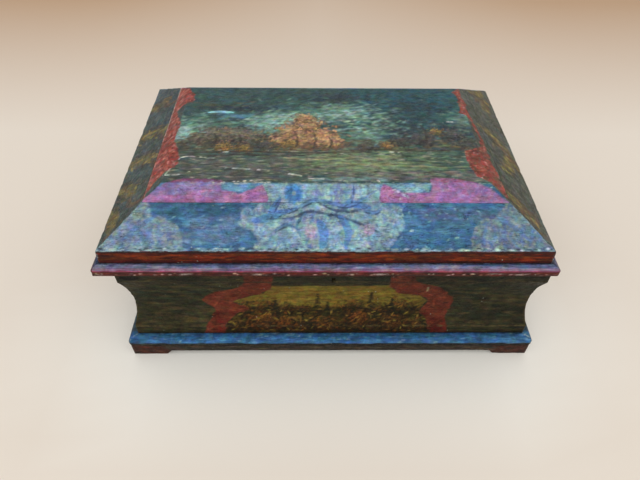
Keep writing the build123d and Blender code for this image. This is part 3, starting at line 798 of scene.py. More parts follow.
def paint_wall(wall, side, along, height):
    """An olive ground, two red zigzag ribbons and a small ochre landscape between them."""
    half_run, _ = side_size(side)
    scale = half_run / HALF_LENGTH
    low, high = (-half_run, BASE_TOP), (half_run, RIM)
    canvas = Canvas(along, height, tone(*OLIVE), 10 + SIDES[side])
    canvas.spread((OLIVE_DARK, (66, 58, 32), (40, 40, 26), (28, 38, 26)), 200, low, high, 40, 12, 0, 0.15,
                  0.65, 0.9)
    canvas.spread((OLIVE_DARK, (72, 62, 36), (32, 42, 30), (54, 48, 28), (20, 24, 18)), 1100, low, high, 20,
                  3.0, 0, 0.08, 0.6)
    canvas.spread(((92, 80, 48), (78, 70, 40), (64, 70, 50)), 110, low, high, 11, 1.4, 0, 0.1, 0.55)
    # Pale lines along the cove's edges: painted highlights where the edges catch the light
    for level in (BASE_TOP + LOWER_FILLET, RIM - UPPER_FILLET):
        canvas.spread(((88, 78, 50), (70, 62, 40)), 40, (-half_run, level - 0.5), (half_run, level + 0.5),
                      18, 1.0)
    outline = LEFT_INNER + RIGHT_INNER
    scene = inside(along, height, [(x * scale, z) for x, z in outline])
    scene = np.minimum(scene, np.minimum(SCENE_TOP - height, height - SCENE_FOOT))
    ribbon = np.full(len(along), OUTSIDE)
    for shape in (LEFT_OUTER + LEFT_INNER, RIGHT_INNER + RIGHT_OUTER):
        ribbon = np.maximum(ribbon, inside(along, height, flowing([(x * scale, z) for x, z in shape])))
    ribbon = frayed(ribbon, along, height, 0.8)
    scene = frayed(scene, along, height, 0.5)
    give(wall, "ribbon", ribbon)
    view = Canvas(along, height, tone(100, 84, 32), 50 + SIDES[side])
    paint_view(view, 84 * scale)
    canvas.within(scene, view)
    cloth = Canvas(along, height, tone(98, 46, 30), 90 + SIDES[side])
    paint_ribbon(cloth, half_run)
    canvas.within(ribbon, cloth)
    if side == "front":
        # A dark scar near the left end, painted black for the shade in a chipped gap, more painted shade to
        # the right and one pale scratch
        canvas.line(tone(12, 12, 10), [(-147, 87), (-142, 86), (-136, 86.5)], 3.6, 1.0, 0.3)
        canvas.colour *= (1 - 0.22 * np.clip(along / half_run, 0, 1))[:, None]
        canvas.line(tone(168, 150, 118), [(67.5, 77), (68.5, 71), (68.5, 65)], 1.2, 0.8, 0.3, True)
    give(wall, "paint", canvas.colour)


for side in SIDES:
    _, reach = side_size(side)
    cove_foot, cove_head = BASE_TOP + LOWER_FILLET, RIM - UPPER_FILLET
    span = cove_head - cove_foot
    radius = (span ** 2 / 4 + COVE_DEPTH ** 2) / (2 * COVE_DEPTH)
    heights = np.linspace(cove_foot, cove_head, ceil(span / STEP))
    hollow = COVE_DEPTH - radius + np.sqrt(radius ** 2 - (heights - (cove_foot + cove_head) / 2) ** 2)
    outer = np.concatenate([
        rounded([(WALL / 2 - 0.5, BASE_TOP, 0), (0, BASE_TOP, 0.3), (0, cove_foot - 0.3, 0)]),
        np.stack([hollow, heights], axis=1),
        rounded([(0, cove_head + 0.3, 0), (0, RIM, 0.4), (WALL / 2 - 0.5, RIM, 0)]),
    ])
    inner = rounded([(WALL / 2 + 0.5, BASE_TOP, 0), (WALL, BASE_TOP, 0.2), (WALL, RIM, 0.4),
                     (WALL / 2 + 0.5, RIM, 0)])
    wall = strip("wall_" + side + "_painted", side, outer, inner, 0.0, WALL_CORNER_RADIUS, BODY_X)
    if side == "front":
        low, high = box_mm("lock_plate")
        cap_low, cap_high = box_mm("lock_cap")
        key = RIM - KEYHOLE_DROP
        slot = KEY_SLOT / 2
        carve(wall, [
            cutter((low[0], high[1] - PLATE, low[2]), (high[0], high[1] + 1, high[2] + 1)),
            cutter((low[0], low[1], high[2] - PLATE), (high[0], high[1] + 1, high[2] + 1)),
            cutter(cap_low, (cap_high[0], cap_high[1] + 1, cap_high[2])),
            round_cutter((BODY_X, key), 1, KEYHOLE_RADIUS, -reach - 2, cap_low[1] + 1),
            cutter((BODY_X - slot, -reach - 2, key - KEY_SLOT_DROP), (BODY_X + slot, cap_low[1] + 1, key)),
        ])
    if side == "back":
        tools = []
        for name in ("left", "right"):
            low, high = box_mm(f"hinge_{name}_body_leaf")
            pin_low, pin_high = box_mm(f"hinge_{name}_pin")
            pin = (pin_low + pin_high) / 2
            tools.append(cutter((low[0], low[1], RIM - PLATE), (high[0], high[1], RIM + 1)))
            tools.append(round_cutter((pin[1], pin[2]), 0, KNUCKLE_ROOM, low[0] - 0.35, high[0] + 0.35))
        carve(wall, tools)
    # The darkening at the wall's foot, just under the cove's head and over the top 22 mm below the rim is
    # painted shade, the last where the lid's moulding overhangs
    along, _, height = finish_piece(
        wall, side, BODY_X, "wall_" + side, "casket", looks["wall"],
        [(0, RIM), (0, cove_head), (0, cove_foot), (WALL, RIM)],
        lambda s, u, z: ((u < 6) & (z > BASE_TOP + 0.2) & (z < RIM - 0.2)).astype(float),
        lambda s, u, z: (u > WALL - 0.6).astype(float),
        lambda s, u, z: np.clip(near_line(z, BASE_TOP, 2.4) + 0.7 * near_line(z, cove_head - 0.4, 1.0)
                                + 0.8 * near_line(z, RIM, 22), 0, 0.85) * (u < 6),
    )
    paint_wall(wall, side, along, height)

# Foot rails
for side in SIDES:
    half_run, _ = side_size(side)
    inner_face = FOOT_WIDTH - FOOT_OUT
    middle = inner_face / 2
    outer = rounded([(middle - 0.5, 0, 0), (-FOOT_OUT, 0, 0.6), (-FOOT_OUT, BASE_BOTTOM, 0.8),
                     (middle - 0.5, BASE_BOTTOM, 0)])
    inner = rounded([(middle + 0.5, 0, 0), (inner_face, 0, 0.3), (inner_face, BASE_BOTTOM, 0.3),
                     (middle + 0.5, BASE_BOTTOM, 0)])
    rail = strip("foot_rail_" + side + "_painted", side, outer, inner, FOOT_OUT, CORNER_RADIUS, BODY_X,
                 feet=True)
    # The rails are darkened a little all over and most just under the base board's edge: painted shade
    along, _, height = finish_piece(
        rail, side, BODY_X, "foot_rail_" + side, "casket", looks["foot"],
        [(-FOOT_OUT, 0), (-FOOT_OUT, BASE_BOTTOM)],
        lambda s, u, z: (u < -FOOT_OUT + 2.5).astype(float), always(0),
        lambda s, u, z: np.clip(0.8 * near_line(z, BASE_BOTTOM, 3.0) + 0.25, 0, 1),
    )
    canvas = Canvas(along, height, tone(50, 44, 36), 20 + SIDES[side])
    low, high = (-half_run - FOOT_OUT, 0), (half_run + FOOT_OUT, BASE_BOTTOM)
    canvas.spread(((50, 42, 34), (36, 30, 24), (74, 60, 44), (26, 22, 18), (96, 82, 66)), 520, low, high,
                  11, 1.8, 0, 0.03, 0.75)
    for way in (-1, 1):
        foot = way * (half_run + FOOT_OUT - FOOT_LENGTH / 2)
        canvas.spread(((72, 34, 22), (52, 26, 18), (88, 46, 32), (38, 22, 16)), 200, (foot - 14, 0),
                      (foot + 14, BASE_BOTTOM), 10, 1.8, 0, 0.1, 0.8)
    give(rail, "paint", canvas.colour)

# Base board
half = (HALF_LENGTH + BASE_OUT, HALF_DEPTH + BASE_OUT)
low_nose, high_nose = BASE_NOSES
flat = [h - high_nose for h in half]
spacing = 1.8 * STEP
xs = np.linspace(-flat[0], flat[0], ceil(2 * flat[0] / spacing))
ys = np.linspace(-flat[1], flat[1], ceil(2 * flat[1] / spacing))
nose = rounded([(high_nose, BASE_TOP, 0), (0, BASE_TOP, high_nose), (0, BASE_BOTTOM, low_nose),
                (high_nose, BASE_BOTTOM, 0)], 0.5)[1:-1]
base = board("base_board_painted", xs, ys, lambda x, y: np.full(len(x), BASE_TOP),
             lambda x, y: np.full(len(x), BASE_BOTTOM), nose, half, BASE_CORNER_RADIUS, BODY_X)
p = points_of(base)
edge_inset = np.minimum(HALF_LENGTH - np.abs(p[:, 0] - BODY_X), HALF_DEPTH - np.abs(p[:, 1]))
# Darkening along the board's lower edge and where it meets the walls: painted shade
finish_piece(
    base, "front", BODY_X, "base_board", "casket", looks["base"], [],
    lambda s, u, z: ((edge_inset < 1) & (z > BASE_BOTTOM + 0.1)).astype(float),
    lambda s, u, z: ((edge_inset > WALL - 0.5) & (z > BASE_TOP - 0.1)).astype(float),
    lambda s, u, z: np.clip(0.9 * near_line(z, BASE_BOTTOM, 1.6)
                            + 0.8 * near_line(edge_inset, 0.5, 1.4), 0, 0.9) * (edge_inset < 1),
)
x, y = p[:, 0] - BODY_X, p[:, 1]
front_edge = HALF_DEPTH - np.abs(y)
canvas = Canvas(x, y, tone(46, 66, 76), 31)
canvas.spread(((36, 44, 42), (56, 78, 88), (40, 58, 66)), 700, (-half[0], -half[1]), (half[0], half[1]), 5,
              9)
blues = Canvas(x, y, tone(*BLUE), 32)
for way in (-1, 1):
    outer, inner = way * half[1], way * (half[1] - BASE_OUT - 1)
    low, high = (-half[0], min(outer, inner)), (half[0], max(outer, inner))
    blues.spread((BLUE_DARK, (52, 104, 154), (44, 90, 134), (70, 122, 166)), 700, low, high, 13, 1.8)
    blues.spread((BLUE_PALE, (138, 172, 184), (40, 56, 66)), 110, low, high, 4, 1.3)
canvas.within(np.minimum(1.5 - front_edge, half[0] - 1 - np.abs(x)), blues)
shade = Canvas(x, p[:, 2], tone(24, 27, 26), 33)
shade.spread(((11, 12, 10), (22, 25, 22), (27, 22, 16), (80, 88, 80)), 700, (-half[0], BASE_BOTTOM),
             (half[0], BASE_TOP), 7, 1.2)
canvas.within(BASE_BOTTOM + 2.6 + 0.8 * noise(p, 6.0, 5) - p[:, 2], shade)
give(base, "paint", canvas.colour)

# Lid moulding
for side in SIDES:
    half_run, _ = side_size(side)
    low_nose, high_nose = MOULDING_NOSES
    inner_face = MOULDING_WIDTH - MOULDING_OUT
    middle = 4.0
    outer = rounded([(middle - 0.5, RIM, 0), (-MOULDING_OUT, RIM, low_nose),
                     (-MOULDING_OUT, MOULDING_TOP, high_nose), (middle - 0.5, MOULDING_TOP, 0)], 0.5)
    inner = rounded([(middle + 0.5, RIM, 0), (inner_face, RIM, 0.3), (inner_face, MOULDING_TOP, 0.3),
                     (middle + 0.5, MOULDING_TOP, 0)])
    piece = strip("lid_moulding_" + side + "_painted", side, outer, inner, MOULDING_OUT, CORNER_RADIUS,
                  LID_X)
    if side == "front":
        low, high = box_mm("strike_plate")
        carve(piece, [cutter((low[0], low[1], RIM - 1), (high[0], high[1], high[2]))])
    if side == "back":
        tools = []
        for name in ("left", "right"):
            low, high = box_mm(f"hinge_{name}_lid_leaf")
            pin_low, pin_high = box_mm(f"hinge_{name}_pin")
            pin = (pin_low + pin_high) / 2
            tools.append(cutter((pin_low[0], low[1], RIM - 1), (pin_high[0], pin[1], RIM + PLATE)))
            room = (pin_low[0] - 0.35, pin_high[0] + 0.35)
            tools.append(round_cutter((pin[1], pin[2]), 0, KNUCKLE_ROOM, *room))
        carve(piece, tools)
    # Darkening in the corner at the fascia's foot and on the moulding's underside: painted shade
    along, inset, height = finish_piece(
        piece, side, LID_X, "lid_moulding_" + side, "lid", looks["moulding"],
        [(-MOULDING_OUT + 0.2, RIM + 1.4)],
        lambda s, u, z: ((u < 0.5) | (z > MOULDING_TOP - 0.2)).astype(float),
        lambda s, u, z: (u > inner_face - 0.6).astype(float),
        lambda s, u, z: np.clip(near_line(u, -SPLAY, 1.5) * (z > MOULDING_TOP - 0.5)
                                + 0.5 * (z < RIM + 0.3), 0, 0.9),
        chip=0.5,
    )
    low, high = -half_run - MOULDING_OUT, half_run + MOULDING_OUT
    canvas = Canvas(along, height, tone(70, 30, 30), 40 + SIDES[side])
    # The lilac row, on the moulding's rounded upper edge, is its blue paint with a painted sheen
    rows = (
        (RIM - 0.5, RIM + 4.9, 700, 1.5, ((72, 30, 20), (54, 24, 16), (94, 34, 24), (38, 20, 14))),
        (RIM + 5.1, RIM + 5.6, 260, 1.0, ((146, 70, 92), (126, 56, 78))),
        (RIM + 5.9, RIM + 7.3, 500, 1.2, ((122, 98, 122), (150, 124, 148), (88, 72, 104), (136, 104, 122))),
        (RIM + 7.4, MOULDING_TOP, 500, 1.2,
         ((122, 118, 148), (92, 104, 146), (146, 142, 168), (66, 76, 108))),
    )
    for bottom, top, count, width, colours in rows:
        canvas.spread(colours, count, (low, bottom), (high, top), 15, width, 0, 0.01, 0.85)
    canvas.spread(((184, 156, 138), (128, 84, 72)), 60, (low, RIM + 1.8), (high, RIM + 3.6), 2.6, 1.4, 0,
                  0.05, 0.8)
    flat_top = np.clip((height - MOULDING_TOP + 0.5) / 0.4, 0, 1)[:, None]
    blues = Canvas(along, inset, tone(90, 102, 140), 45 + SIDES[side])
    blues.spread((BLUE_DARK, (126, 124, 152), (140, 138, 168), (92, 112, 146), (58, 70, 100)), 600,
                 (low, -MOULDING_OUT), (high, 1), 18, 1.3)
    paint = canvas.colour + flat_top * (blues.colour - canvas.colour)
    if side in ("left", "right"):
        paint *= 0.55
    give(piece, "paint", paint)
    spots = np.stack([along, inset, height], axis=1)
    chipped = 3 * noise(spots, 5.0, 3) + 3 * noise(spots * (0.3, 1, 1), 7.0, 4) - 1.2
    rub = 0.7 * near_line(height, RIM + 2.6, 1.4) * np.clip(chipped, 0, 1)
    piece.data.attributes["rub"].data.foreach_set("value", rub.astype(np.float32))


# Lid rails

RESERVE = [(-43.5, 42), (-43.5, 27.4), (-56.8, 23.8), (-58, 19), (-56.5, 14.7), (-46, 7.6), (-43.9, -1),
           (34.6, -1), (46.6, 8.7), (50.7, 16.2), (49.3, 23.7), (39.7, 27), (38.4, 42)]
CORNER = [(-124, 31), (-114.4, 21), (-101.8, 17.4), (-95.1, 8.5), (-96.7, -1), (-154, -1)]
STEM, VEIN, BROAD = (84, 122, 168), (46, 68, 98), (78, 128, 184)
BRANCHES = (
    (BROAD, 5.0, [(-49, 17), (-38, 19.5), (-26, 23.5)]),
    (BROAD, 4.4, [(-39, 19), (-35, 25), (-31, 31)]),
    (BROAD, 4.0, [(8, 25), (18, 27), (29, 25)]),
    (STEM, 2.4, [(-47, 18), (-35, 20), (-22, 24), (-9, 29), (2, 28), (12, 26), (22, 29), (33, 35)]),
    (VEIN, 1.5, [(-40, 19), (-24, 19), (-12, 22.5), (2, 21), (15, 18), (27, 14), (36, 10)]),
    (STEM, 2.8, [(-38, 19), (-35, 24), (-31, 30)]),
    (VEIN, 1.2, [(-8, 29), (4, 24), (16, 23), (27, 25)]),
    (STEM, 2.4, [(10, 26), (17, 31), (18, 38)]),
    (STEM, 1.8, [(-14, 22), (-20, 15), (-17, 8)]),
    (BROAD, 6.5, [(-6, 18), (-2, 10), (-4, 1)]),
    (BROAD, 5.0, [(8, 20), (14, 12), (12, 2)]),
    (STEM, 2.2, [(-34, 12), (-26, 15), (-18, 12)]),
    (STEM, 2.0, [(24, 24), (31, 22), (38, 25)]),
)
FLOWERS = ((-22, 33.5, 6.8, (66, 122, 184)), (-11, 11.5, 4.2, (168, 144, 176)),
           (28, 12.5, 3.8, (174, 152, 178)), (8, 34, 3.6, (112, 130, 190)))


def flower(canvas, x, y, size, colour):
    """A round blossom: a full disc of petals, dark between them, about a pale eye."""
    petal = tone(*colour)
    canvas.daub(petal, x, y, size * 2.2, size * 2.1, 0, min(0.95, 0.14 * size), 0.4)
    for ring, count in ((0.78, 11), (0.45, 7)):
        for k in range(count):
            a = 2 * pi * k / count + ring
            canvas.daub(petal * (0.6 + 0.55 * (k % 2)), x + ring * size * cos(a), y + ring * size * sin(a),
                        size * 0.5, size * 0.28, a, 0.6)
    canvas.daub(0.5 * petal + 0.5 * tone(190, 190, 160), x, y, size * 0.5, size * 0.5, 0, 0.7)


def paint_front_bevel(canvas):
    """A pale reserve with a flowering branch, and a pale patch in each lower corner, on blue."""
    low, high = (-153, 0), (153, 41)
    canvas.spread(((50, 92, 130), (66, 112, 150), (82, 122, 152), (60, 104, 146)), 260, low, high, 30, 9, 0,
                  0.1, 0.6, 0.9)
    canvas.spread((BLUE_DARK, (56, 102, 144), (88, 130, 162), (78, 108, 144), (48, 82, 106)), 1300, low,
                  high, 14, 2.4, 0, 0.06, 0.5, 0.7)
    canvas.spread(((88, 100, 138), (96, 102, 134), (70, 88, 116)), 60, (62, 17), (112, 25), 11, 2.6, 0, 0.2,
                  0.6, 0.8)
    canvas.spread(((96, 116, 150), (112, 148, 168)), 120, (-95, 4), (-58, 20), 9, 2.4, 0, 0.15, 0.5, 0.8)
    canvas.spread(((38, 76, 98), (46, 86, 112)), 60, (-112, 20), (-58, 28), 14, 2.6, 0, 0.06, 0.6, 0.8)
    canvas.spread(((30, 52, 70), (38, 60, 78)), 60, low, high, 8, 1.0, 0, 0.15, 0.7)
    canvas.spread(((150, 184, 190), (128, 168, 184)), 90, low, high, 3, 1.3, 0, 0.3, 0.7)
    canvas.colour[canvas.x > 60] *= (0.9, 1, 0.97)
    pale = ((156, 184, 176), (136, 164, 184), (174, 188, 168), (118, 150, 190), (146, 142, 184),
            (112, 152, 186), (184, 198, 184))
    deep = ((84, 122, 170), (88, 132, 184), (104, 116, 168), (84, 108, 140))
    for outline, spots in ((RESERVE, 2200), (CORNER, 900), (mirrored(CORNER), 900)):
        patch = Canvas(canvas.x, canvas.y, tone(132, 156, 168), int(canvas.random.integers(999)))
        low, high = np.min(outline, axis=0) - 2, np.max(outline, axis=0) + 2
        patch.spread(((172, 188, 166), (104, 142, 188), (138, 130, 174), (164, 184, 178), (92, 138, 182)),
                     spots // 16, low, high, 15, 8, 0, 1.0, 0.6, 1.0)
        patch.spread(pale, spots, low, high, 5.0, 2.2, 0.2, 1.0, 0.55, 0.8)
        patch.spread(deep, spots // 4, low, high, 5.5, 1.6, 0.5, 1.3, 0.6, 0.7)
        patch.colour *= (0.84, 0.95, 0.93) if outline is RESERVE else (0.7, 0.72, 0.74)
        # Painted shade: the patches darker towards the right end
        patch.colour *= np.where(canvas.x > 60, 0.78, 1.0)[:, None]
        depth = inside(canvas.x, canvas.y, flowing(outline))
        canvas.within(frayed(depth, canvas.x, canvas.y, 1.6) / 2, patch)
    for colour, width, points in BRANCHES:
        canvas.line(tone(*colour), points, width, 0.8)
        if colour == BROAD:
            continue
        for shift in (-0.5 * width, 0.5 * width):
            canvas.line(tone(*VEIN), [(x + 0.3, y + shift) for x, y in points], 1.2,
                        0.9 if shift < 0 else 0.5, 0.7, True)
    for x, y, size, colour in FLOWERS:
        flower(canvas, x, y, size, colour)
    for way in (-1, 1):
        for k in range(9):
            x = way * (104 + 4.2 * k)
            canvas.line(tone(*STEM), [(x, 3), (x + way * 4 * sin(k), 9), (x + way * 2, 15)], 2.2, 0.45)
        canvas.line(tone(*STEM), [(way * 113, 20), (way * 124, 14), (way * 134, 6)], 3.0, 0.6)
    canvas.colour *= 1.1
    canvas.spread(((140, 178, 186), (196, 222, 218), (44, 62, 76), (84, 120, 140), (34, 48, 60)), 460,
                  (-152, -0.2), (152, 1.6), 4, 1.2, 0, 0.04, 0.75)


LEAVES = {
    "left": ([(-66, -1), (-63, 8), (-65, 20)], [(-22, -1), (-18, 12), (-12, 28)],
             [(12, -1), (15, 12), (22, 28)], [(42, 1), (49, 9), (58, 18)], [(66, 0), (74, 5), (88, 8)]),
    "right": ([(18, 25), (9, 14), (-2, 7), (-20, 3)], [(-30, 20), (-22, 13), (-10, 11)],
              [(-60, 30), (-70, 18), (-84, 9)], [(74, 6), (66, 12), (56, 10)],
              [(90, 10), (82, 14), (74, 26)]),
}
SLATE = {
    "left": ((54, 74, 82), (66, 86, 92), (44, 62, 66), (80, 98, 104), (50, 66, 56)),
    "right": ((84, 96, 98), (60, 72, 62), (94, 102, 98), (72, 86, 94), (58, 62, 48)),
}


def paint_side_bevel(canvas, side):
    """Grey-green with a few broad ochre leaves across it and brown scrolls beside them."""
    low, high = (-104, -1), (104, 41)
    slate = SLATE[side]
    canvas.spread((LEAF_SHADE, *slate), 200, low, high, 26, 12, 0, 0.6, 0.7, 1.0)
    canvas.spread((LEAF_SHADE, *slate, (98, 100, 88), (50, 50, 40)), 900, low, high, 10, 2.6, 1.0, 0.6, 0.5,
                  0.8)
    near = np.clip((canvas.x + 70) / 120, 0, 1)[:, None]
    canvas.colour *= (0.86, 1.02, 1.2) - near * (0.02, 0.12, 0.34) if side == "left" else (0.98, 0.92, 0.8)
    for spine in LEAVES[side]:
        for shift, width, colour, weight in ((-6.0, 8.0, (58, 46, 36), 0.5), (6.5, 6.0, (64, 56, 44), 0.4),
                                             (0, 11.0, (94, 86, 54), 0.55)):
            canvas.line(tone(*colour), [(s + shift, a) for s, a in spine], width, weight, 0.8)
        for point in curve_through(spine)[::3]:
            canvas.scatter([tone(146, 130, 66), tone(118, 104, 54), tone(90, 78, 42)], 2, point, (7, 4), 7,
                           2.2, 1.1, 0.35, 0.9, 0.7)
        tip = spine[-1]
        scroll = [(tip[0] + 3, tip[1] - 4), (tip[0] + 11, tip[1] - 1), (tip[0] + 12, tip[1] + 7),
                  (tip[0] + 5, tip[1] + 10)]
        canvas.line(tone(78, 60, 46), scroll, 5.0, 0.65)
        canvas.line(tone(112, 94, 64), [(s - 1, a + 1.5) for s, a in scroll], 2.2, 0.5)
    canvas.spread(((112, 94, 62), (52, 46, 38), (118, 110, 78), (92, 106, 108)), 380, low, high, 5.0, 1.8,
                  1.0, 0.9, 0.4, 0.8)


def paint_slope(canvas, side):
    """The paint of one side of the lid's slope."""
    if side in ("front", "back"):
        paint_front_bevel(canvas)
    else:
        paint_side_bevel(canvas, side)


for side in SIDES:
    half_run, _ = side_size(side)
    inner_face = MOULDING_WIDTH - MOULDING_OUT
    thick = RAIL_THICKNESS * (1 + SLOPE ** 2) ** 0.5
    outer = rounded([
        (inner_face / 2 - 0.5, MOULDING_TOP, 0), (-SPLAY, MOULDING_TOP, 0.3), (0, SLOPE_FOOT, 0.9),
        (SEAM, SEAM_HEIGHT, 0.3), (SEAM, REBATE_FLOOR + 2, 0),
    ], 0.75 * STEP)
    inner = rounded([
        (inner_face / 2 + 0.5, MOULDING_TOP, 0), (inner_face, MOULDING_TOP, 0.2),
        (inner_face, SLOPE_FOOT + inner_face * SLOPE - thick, 0.4),
        (LEDGE, SLOPE_FOOT + LEDGE * SLOPE - thick, 0.2), (LEDGE, REBATE_FLOOR, 0.2),
        (SEAM, REBATE_FLOOR, 0.2), (SEAM, REBATE_FLOOR + 1, 0),
    ])
    rail = strip("lid_rail_" + side + "_painted", side, outer, inner, SPLAY, CORNER_RADIUS, LID_X)
    # Darkening at the fascia's foot, faintly along the seam, and in a line just under the slope's lower
    # edge: painted shade
    along, inset, height = finish_piece(
        rail, side, LID_X, "lid_rail_" + side, "lid", looks["bevel"],
        [(0, SLOPE_FOOT)],
        lambda s, u, z: (z > SLOPE_FOOT + u * SLOPE - 3).astype(float) * (u < SEAM + 0.1)
        + (z < SLOPE_FOOT) * (u < 3) * (z > MOULDING_TOP + 0.1),
        lambda s, u, z: (z < SLOPE_FOOT + u * SLOPE - 5).astype(float) * (u > 5),
        lambda s, u, z: np.clip(near_line(z, MOULDING_TOP, 1.8) + 0.1 * near_line(u, SEAM, 0.7)
                                + 0.9 * near_line(z, SLOPE_FOOT - 1.5, 0.9) * (u < 0.2), 0, 0.9),
        chip=0.5, relief=2.2,
    )
    slope = Canvas(along, inset, tone(*(BLUE if side in ("front", "back") else LEAF_GROUND)),
                   60 + SIDES[side])
    paint_slope(slope, side)
    band = Canvas(along, height, tone(86, 26, 4), 70 + SIDES[side])
    low, high = (-half_run, MOULDING_TOP), (half_run, SLOPE_FOOT)
    band.spread(((128, 52, 6), (58, 10, 2), (104, 26, 3), (92, 42, 6), (46, 12, 4)), 800, low, high, 14,
                2.0, 0, 0.05, 0.9)
    for edge in (MOULDING_TOP + 0.9, SLOPE_FOOT - 0.9):
        band.spread(((88, 14, 10), (54, 10, 8)), 300, (-half_run, edge - 1), (half_run, edge + 1), 18, 1.4,
                    0, 0.02, 0.85)
    # Painted shade: the fascia darker towards the right end of each side
    band.colour *= np.where(along > 40, 0.88, 1.0)[:, None]
    upright = ((inset < 0.05) & (height < SLOPE_FOOT - 0.5) | (height < SLOPE_FOOT - 0.9))[:, None]
    give(rail, "paint", np.where(upright, band.colour, slope.colour))


# Lid panel

def bevelled(x, y):
    """Height of the panel's top: a flat with a bevel along each side, its creases a little soft."""
    run = np.minimum(HALF_LENGTH - np.abs(x), HALF_DEPTH - np.abs(y))
    rise = np.minimum(SLOPE_FOOT + run * SLOPE, LID_TOP)
    gap = LID_TOP - (SLOPE_FOOT + run * SLOPE)
    return rise - 0.35 * np.clip(1 - np.abs(gap) / 1.4, 0, 1) ** 2


def spaced(flat_half, outer_half):
    """Grid lines that fall on the creases, so that the hips run along them."""
    bevel = np.linspace(flat_half, outer_half, ceil((outer_half - flat_half) / STEP) + 1)
    flat = np.linspace(-flat_half, flat_half, ceil(2 * flat_half / STEP) + 1)
    return np.concatenate([-bevel[::-1][:-1], flat, bevel[1:]])


LEFT_RED = [(67, 33), (60, 40), (45, 46), (38, 43), (31, 34), (20, 37), (4, 41), (-13, 40), (-29, 46),
            (-41, 48), (-49, 41), (-64, 30), (-74, 27)]
RIGHT_RED_OUT = [(67, 39), (49, 37), (42, 36), (25, 36), (16, 34.5), (-6, 31), (-32, 31), (-66, 27)]
RIGHT_RED_IN = [(-70, 30), (-63, 37), (-58, 45), (-47, 49), (-34, 51), (-25, 50), (-20, 37), (-6, 35),
                (13, 37), (19, 39), (25, 44.5), (33, 42.5), (49, 42.5), (61, 47.5), (67, 49)]
BACK_CLOTH_END = 38.0
PINK_LEFT = [(-123, 26), (-120, 32), (-107, 40), (-98, 43.5), (-71, 43), (-70, 35.6), (-57, 33.8),
             (-43.5, 38.5), (-43, 26)]
PINK_RIGHT = [(38.5, 26), (38.5, 39), (50, 34.2), (69, 34.2), (71, 44), (84, 45), (99, 42), (112, 35),
              (122, 26)]
LENS_LEFT = [(-71, 40), (-70, 35.6), (-57, 33.8), (-43.5, 38.5), (-43.5, 39.6)]
LENS_RIGHT = [(38.5, 39.5), (50, 34.2), (69, 34.2), (71, 40)]


def bushes(canvas, colours, count, *places):
    """One bush at each place (x, y, size)."""
    for x, y, size in places:
        bush(canvas, x, y, size, colours, count)


def masses(canvas, colours, count, length, width, turn, swing, weight, soft, *places):
    """A mass of touches about each place (x, y, breadth, depth)."""
    for x, y, wide, deep in places:
        canvas.scatter(colours, count, (x, y), (wide, deep), length, width, turn, swing, weight, soft)


def paint_sky(canvas):
    """A broken teal sky with light and dark clouds."""
    low, high = (-128, 2), (128, 78)
    canvas.spread(((52, 84, 84), (40, 76, 82), (66, 94, 84), (50, 86, 96), (74, 88, 70)), 420, low, high,
                  20, 7, 0, 0.3, 0.6, 0.9)
    canvas.spread(((32, 66, 74), (58, 98, 98), (46, 92, 102), (72, 94, 84), (86, 98, 72), (34, 60, 66)),
                  1000, low, high, 11, 2.8, 0, 0.35, 0.5, 0.7)
    canvas.spread(((96, 84, 56), (88, 92, 60)), 60, (-116, 30), (-56, 40), 10, 2.6, 0, 0.2, 0.6, 0.8)
    canvas.spread(((36, 82, 100), (46, 94, 108), (30, 70, 88)), 160, (20, 22), (118, 64), 15, 4, 0, 0.25,
                  0.6, 0.9)
    canvas.spread(((84, 90, 82), (100, 106, 88), (70, 76, 66)), 500, (-128, -78), (128, 4), 18, 5, 0, 0.15,
                  0.7, 0.9)
    canvas.colour *= (0.7, 0.82, 0.86)
    canvas.colour[canvas.x > 20] *= (0.72, 1.02, 1.08)
    light = tones((104, 138, 124), (86, 124, 120), (124, 154, 138), (80, 120, 114), (114, 142, 108))
    masses(canvas, light, 160, 9, 3.2, 0.1, 0.4, 0.6, 0.8, (-47, 15, 44, 18), (-28, 20, 30, 10),
           (-42, -2, 26, 12), (-102, 6, 22, 18), (-103, -11, 16, 12), (24, 26, 36, 20), (38, 3, 36, 22),
           (28, -9, 22, 10), (108, 14, 14, 16), (0, 24, 30, 20))
    bright = tones((160, 198, 186), (142, 190, 184), (168, 196, 174))
    masses(canvas, bright, 80, 8, 2.6, 0.1, 0.4, 0.6, 0.8, (38, 4, 26, 16), (24, 22, 26, 12),
           (-30, 18, 26, 8), (-44, 8, 20, 8), (-104, -2, 12, 10))
    night = tones((28, 46, 62), (36, 52, 60), (42, 52, 52), (30, 56, 78), (48, 54, 54))
    masses(canvas, night, 150, 8, 3.0, 0.2, 0.6, 0.6, 0.8, (60, 8, 24, 20), (74, 32, 44, 12),
           (66, -6, 26, 14), (-68, 30, 26, 5), (10, 46, 30, 8), (100, 0, 14, 12))
    masses(canvas, tones((78, 126, 152)), 34, 9, 3.0, 0, 0.2, 0.7, 0.8, (-71, 19, 14, 5))
    canvas.line(tone(142, 208, 220), [(-91, 24), (-82, 25), (-72, 24)], 2.8, 0.95, 0.5)
    canvas.line(tone(146, 182, 168), [(-54, 6), (-48, 8), (-40, 4)], 1.4, 0.8, 0.5)


